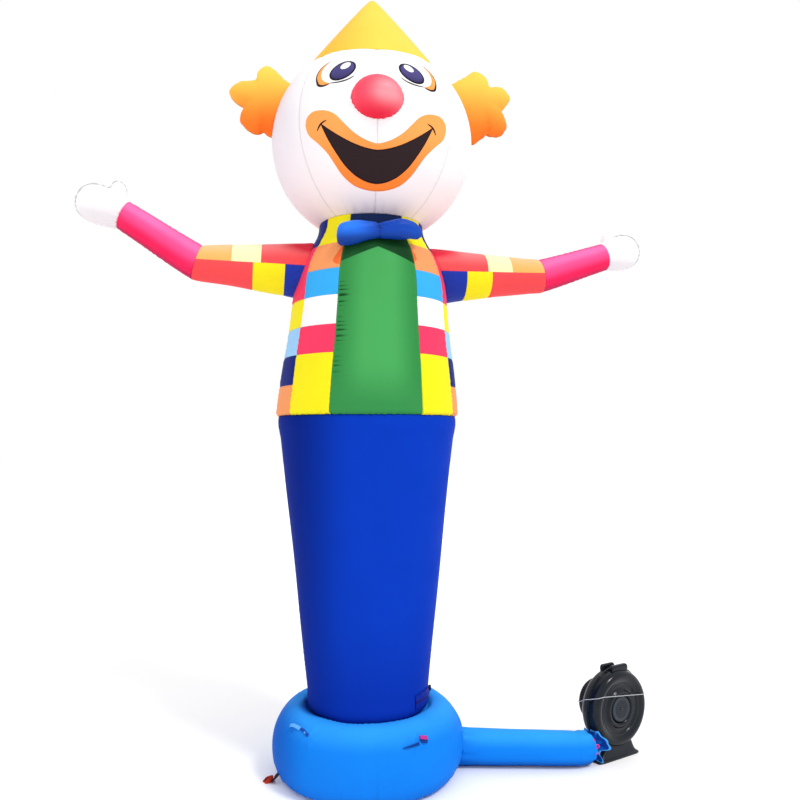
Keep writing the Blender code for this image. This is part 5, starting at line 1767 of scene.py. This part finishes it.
# %% [markdown]
# ## Foot and lugs
#
# The foot flares from the drum to a thin base plate. It and the two lugs on the rim are stacks
# of rectangles with round corners.

# %% Foot and lugs
FOOT_ROWS = [               # height, left, right, front, back
    (.0005, -.154, .109, -.005, .134), (.006, -.155, .11, -.006, .135),
    (.0085, -.152, .108, -.0045, .133), (.012, -.142, .102, .002, .125),
    (.02, -.127, .095, .0065, .114), (.04, -.104, .086, .012, .098), (.07, -.084, .077, .017, .093),
    (.11, -.07, .07, .02, .09)]
LUG_ROWS = {                # height, left, right, front, back
    "blower_lug_back": [(.365, -.045, .034, .074, .092), (.398, -.045, .034, .074, .092),
                        (.404, -.042, .031, .076, .09), (.406, -.037, .026, .079, .087)],
    "blower_lug_front": [(.37, -.034, .066, .024, .044), (.402, -.034, .066, .024, .044),
                         (.4075, -.031, .062, .026, .042), (.409, -.025, .056, .029, .039)]}


def rounded(turn, corner):
    """Round a rectangle of half sizes one, |x|^n + |y|^n = 1, with n larger for sharper corners."""
    c, s = cos(turn), sin(turn)
    return array([c, s]) * (abs(c) ** corner + abs(s) ** corner) ** (-1 / corner)


def stacked(name, rows, corner, finish, per_side=16):
    """Rectangles with round corners, one above the other."""
    x, y = rounded(full_turn(4 * per_side) + pi / 4 / per_side, corner)
    z, left, right, front, back = smooth_line(rows, step=0.003, measure=3).T[..., None]
    grid = at_blower((left + right) / 2 + (right - left) / 2 * x,
                     (front + back) / 2 + (back - front) / 2 * y, z)
    return skin(name, grid, [finish])


dress(stacked("foot_shell", FOOT_ROWS, 12.0, black_worn, per_side=28), "black_plastic",
      "blower_foot")
for solid, rows in LUG_ROWS.items():
    dress(stacked(solid + "_shell", rows, 9.0, black), "black_plastic", solid)

for solid, finish in (("blower_nozzle", black), ("blower_cord_gland", grey_plastic)):
    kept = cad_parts[solid].data.materials
    kept.clear()
    kept.append(finish)
    print(solid, "keeps its solid, with a new finish")

# %% [markdown]
# ## The cord round the blower
#
# A thin grey cord is tied taut round the housing, as a carrying loop. It runs straight from
# edge to edge, with a small curve over each.

# %% Grey cord
CORD_R = 0.0016
CORD_ROWS = array([         # along the face, depth, height above the shaft
    (-.1234, -.0022, .078), (.1389, -.0022, .045), (.159, .006, .043), (.1785, .0475, .039),
    (.1785, .0565, .039), (.1682, .0815, .034), (.1011, .162, .022), (.0914, .1865, .018),
    (.06, .2011, .011), (-.06, .2011, -.002), (-.0932, .1865, .001), (-.1032, .162, .008),
    (-.1645, .0815, .049), (-.1725, .0565, .06), (-.1717, .0475, .062), (-.1475, .006, .074)])


def eased_corners(line, reach=0.0035, rounds=2):
    """A closed line whose corners are cut twice within reach of each."""
    before, after = np.roll(line, 1, axis=0) - line, np.roll(line, -1, axis=0) - line
    points = stack([line + unit(before) * reach, line, line + unit(after) * reach], axis=1)
    points = points.reshape(-1, 3)
    for _ in range(rounds):
        ahead = np.roll(points, -1, axis=0)
        points = stack([.75 * points + 0.25 * ahead, .25 * points + 0.75 * ahead], axis=1)
        points = points.reshape(-1, 3)
    return points


grey_cord = cord_finish("grey cord", (.62, .63, .66), (.25, .26, .29), twist=420.0)
cord_path = at_blower(*(eased_corners(CORD_ROWS) + (0, 0, SHAFT_Z)).T)
dress(round_cord("carrying_cord", cord_path, CORD_R, grey_cord, closed=True, around=10),
      "grey_cord", "blower_cord")

# %% [markdown]
# ## Straps and tabs
#
# A webbing loop and a pink tab on the ring's shoulder, and a strap with an orange tab on the
# ground. Straps are thin strips along a line, with ribs from the strip's own UV map.

# %% Webbing
def webbing(name, colour, deep):
    """Ribbed webbing: ribs across the strip every 1.6 mm, crossed by yarns every 1.1 mm."""
    made, tree, where, uv = new_finish(name)
    part = node(tree, "SeparateXYZ", None, {0: uv}).outputs
    ribs = [math(tree, "SINE", times(tree, part[k], 2 * pi / pitch))
            for k, pitch in ((1, .0016), (0, .0011))]
    height = math(tree, "MULTIPLY_ADD", times(tree, *ribs), .5, .5)
    # Painted shade: the valleys between the ribs are darker.
    base = mixed(tree, spread(tree, height, 0.0, 1.0, 0.0, .5), deep, colour)
    uneven = spread(tree, noise(tree, where, 90.0), .4, .8, 0.0, .3)
    return end_finish(made, mixed(tree, uneven, base, deep), .7, .1, height, .7, .0003)


def on_ring(degrees, height, off):
    """A point off the base ring's side, and the direction that the ring faces there."""
    degrees, height = np.broadcast_arrays(np.asarray(degrees, float), np.asarray(height, float))
    radius, above, below = (ring_radius(height + step) for step in (0, .004, -.004))
    out, slope = out_from_axis(radians(degrees)), (above - below) / 0.008
    normal = unit(out - slope[..., None] * UP)
    point = out * radius[..., None] + UP * height[..., None]
    return point + normal * np.asarray(off)[..., None], normal


def strip(name, middles, normals, half_wide, thick, finish, slot, *nodes):
    """A flat strip along middles, its thickness along the normals."""
    across = unit(cross(normals, unit(np.gradient(middles, axis=0))))
    wide = broadcast_to(half_wide, (len(middles),))[:, None, None]
    s = linspace(-1, 1, 7)[None, :, None]
    back = middles[:, None] + across[:, None] * wide * s
    front = back + normals[:, None] * (thick + (1 - s ** 2) * thick * 0.25)
    dress(leaf(name, front, back, [finish]), slot, *nodes)


# The loop and its tack get a pale copy of the blue webbing: a painted highlight on the loop.
highlit_blue_web, blue_web, navy_web, pink_web, dark_web, red_web = (
    webbing(name + " webbing", colour, deep) for name, colour, deep in (
        ("highlit blue", (.2, .52, .9), (.07, .34, .84)),
        ("blue", (.01, .115, .56), (.003, .045, .32)),
        ("navy", (.004, .062, .36), (.002, .03, .2)),
        ("pink", (.7, .05, .36), (.42, .03, .24)),
        ("dark", (.07, .018, .022), (.02, .006, .01)),
        ("orange", (.8, .085, .03), (.42, .025, .01))))

t = linspace(0, 1, 41)
LOOP_ROWS = [               # degrees, height, off the ring
    (-65.5, .262, .001), (-64, .264, .004), (-61, .266, .011), (-57.5, .268, .01),
    (-55.2, .268, .0022), (-54.5, .268, .001)]
END_ROWS = [(-54.5, .268, .0016), (-51, .267, .003), (-48, .262, .0024), (-45.5, .258, .001)]
for name, place, half_wide, thick, *look in (
        ("ring_loop", smooth_line(LOOP_ROWS, step=0.25, measure=1).T, .0075, .002,
         highlit_blue_web, "azure_cloth", "ring_loop_blue"),
        ("ring_loop_end", smooth_line(END_ROWS, step=0.25, measure=1).T, .006, .0018,
         blue_web, "azure_cloth"),
        ("ring_loop_tack", (-49.6 + 1.6 * t, .264 - 0.003 * t, .005 + 0 * t), .0026, .001,
         highlit_blue_web, "azure_cloth"),
        ("ring_tab", (29.9 - 0.7 * t, .2565 - 0.0125 * t, .001 + 0.006 * t ** 2), .0175,
         0.003, pink_web, "pink_cloth", "ring_tab_pink"),
        ("ring_tab_fringe", (29.1 - 0.4 * t, .244 - 0.01 * t, .004 + 0.002 * t),
         0.018 - 0.0035 * t, .0014, navy_web, "dark_webbing"),
        ("ring_tab_tail", (25.5 - 11.1 * t, .2375 - 0.0045 * t, .0016 + 0.004 * sin(pi * t)),
         0.0062 - 0.0046 * t, .0014, navy_web, "dark_webbing")):
    strip(name, *on_ring(*place), half_wide, thick, *look)

# %% Ground strap and its tab
STRAP_FROM, STRAP_TO = (-74.0, .05, .0016), array((-.4285, -.072, .002))
FLAT = array((1, 1, 0))
start, lift = on_ring(*STRAP_FROM)
out = unit((STRAP_TO - start) * FLAT)
side = cross((0, 0, 1), out)
s = linspace(0, 1, 33)[:, None]
middles = (start + (STRAP_TO - start) * s - UP * 0.02 * s * (1 - s)
           + side * 0.003 * sin(2 * pi * s))
normals = unit(lift * (1 - s) ** 4 + array([0, -1.0, .7]) * (1 - s ** 6) + UP * s ** 2)
strip("strap_on_ground", middles, normals, .0068, .0016, dark_web, "dark_webbing", "ground_strap")

TAB_ROWS = [                # along the tab, half width, height of its middle, sideways, tilt
    (.000, .008, .005, .000, .2), (.006, .015, .008, .001, .5), (.014, .022, .01, .000, .8),
    (.022, .019, .01, .001, 1.0), (.028, .015, .01, .003, 1.0), (.036, .017, .008, .001, .7),
    (.043, .008, .004, -.004, .3)]
TAB_TILT = 0.45             # how steeply the tab leans, its far edge up
place, half_wide, high, aside, tilt = smooth_line(TAB_ROWS, step=0.0015).T[..., None]
s = linspace(-1, 1, 21)[None, :]
flat = ((STRAP_TO - out * 0.012) * FLAT + out * place[..., None]
        + side * (aside - half_wide * s)[..., None])
crumple = 0.0013 * sin(9 * s + 230 * place) + 0.0009 * sin(17 * s - 150 * place)
height = (high * (.3 + 0.5 * cos(pi / 2 * s) ** 0.8) + crumple * (1 - s ** 2)
          + TAB_TILT * half_wide * tilt * (1 + s))
over = flat + UP * maximum(height, .0016)[..., None]
dress(leaf("strap_tab", over, flat + UP * 0.0004, [red_web]), "orange_webbing",
      "ground_tab_orange")

BAND_ROWS = [(-.016, .004), (-.008, .013), (0, .0165), (.008, .015), (.016, .006)]
band = smooth_line(BAND_ROWS, step=0.0012)
points = STRAP_TO * FLAT + out * 0.012 + side * band[:, :1] + UP * band[:, 1:]
facing = unit(cross(out, np.gradient(points, axis=0)))
strip("strap_tab_band", points, facing * np.sign(facing[:, 2:].mean()), .003, .0012, dark_web,
      "dark_webbing")
ring = full_turn(40)[:, None]
points = STRAP_TO + out * (.0085 * sin(ring) - 0.018) + side * 0.0085 * cos(ring) + UP * 0.0055
dress(round_cord("strap_tab_loop", points, .0018, cord_finish(
    "dark red cord", (.22, .02, .02), (.08, .008, .01)), closed=True, around=10),
      "orange_webbing")

# %% [markdown]
# ## The zipped vent
#
# Low on the leg sits a dark zip, by which the air is let out: two rows of teeth, a flap and a
# puller at the far end. It stays shut here.

# %% Vent
VENT_PATCH, ZIP_Z, PULLER_AT = (42.0, 72.0, .315, .375), .347, (88.0, .341)
PER_DEGREE = 0.0047         # metres round the leg for one degree
vent_cloth = cloth("vent flap nylon", (.0025, .02, .27), [
    ("over_zip", .3, .95, (.018, .01, .12))], seams=0.03, shine=0.02)
tooth_plastic, puller_plastic = (
    plastic(f"zip {name} plastic", colour, rough=0.5, scuff=0.1, shine=0.05)
    for name, colour in (("teeth", (.02, .008, .07)), ("puller", (.003, .003, .005))))


def on_leg(degrees, height, off):
    """A point off the leg's side."""
    degrees, height, off = np.broadcast_arrays(degrees, height, off)
    point = out_from_axis(radians(degrees)) * (by_height(LEG_ROWS, height) + off)[..., None]
    return point + stack([interp(height, *LEAN_ROWS.T), 0 * height, height], axis=-1)


def vent():
    """The flap: a thin patch with a stitched border and a bead along its middle."""
    a, b, low, high = VENT_PATCH
    degrees, height = np.meshgrid(linspace(a, b, 55), linspace(low, high, 31))
    gap = np.minimum.reduce([(degrees - a) * PER_DEGREE, (b - degrees) * PER_DEGREE, height - low,
                             high - height])
    run = degrees * PER_DEGREE + height
    over_zip = exp(-((height - ZIP_Z) / 0.0075) ** 2)
    off = 0.0015 + 0.0012 * clip(gap / 0.006, 0, 1) + 0.0028 * over_zip
    off = off + groove(gap - 0.008, .0008, .003) + gathers(gap, run, .0007, .02, .016, .4)
    return leaf("vent_flap", on_leg(degrees, height, off + 0.001), on_leg(degrees, height, .0012),
                [vent_cloth], gap=gap, run=run, over_zip=over_zip)


dress(vent(), "dark_webbing", "vent_patch")
degrees = arange(46.5, 84.0, .62)
teeth = on_leg(degrees, ZIP_Z + 0.0018 * (-1.0) ** arange(len(degrees)), .0048)
repeated("vent_teeth", teeth, out_from_axis(radians(degrees)),
         [(.0016, -.0015), (.0016, .0008), (.001, .0014)], tooth_plastic, "dark_webbing", around=8)
PULLER_ROWS = [             # off its root, half width, half height
    (0.0, .0045, .009), (.003, .0048, .0105), (.006, .0046, .0118), (.01, .0042, .0128),
    (.0125, .0038, .011), (.013, .0034, .0095)]
out, wide, high = smooth_line(PULLER_ROWS, step=0.0008, measure=1).T[..., None, None]
front = out_from_axis(radians(PULLER_AT[0]))
x, z = rounded(full_turn(40), 6)[..., None]
grid = on_leg(*PULLER_AT, .001) + front * out + cross(UP, front) * wide * x + UP * high * z
dress(skin("vent_pull", grid, [puller_plastic]), "dark_webbing", "vent_puller")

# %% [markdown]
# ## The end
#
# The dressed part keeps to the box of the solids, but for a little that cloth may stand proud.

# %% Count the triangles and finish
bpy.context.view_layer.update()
print("triangles in all:", sum(count_of(o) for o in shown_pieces() if o.type == "MESH"))
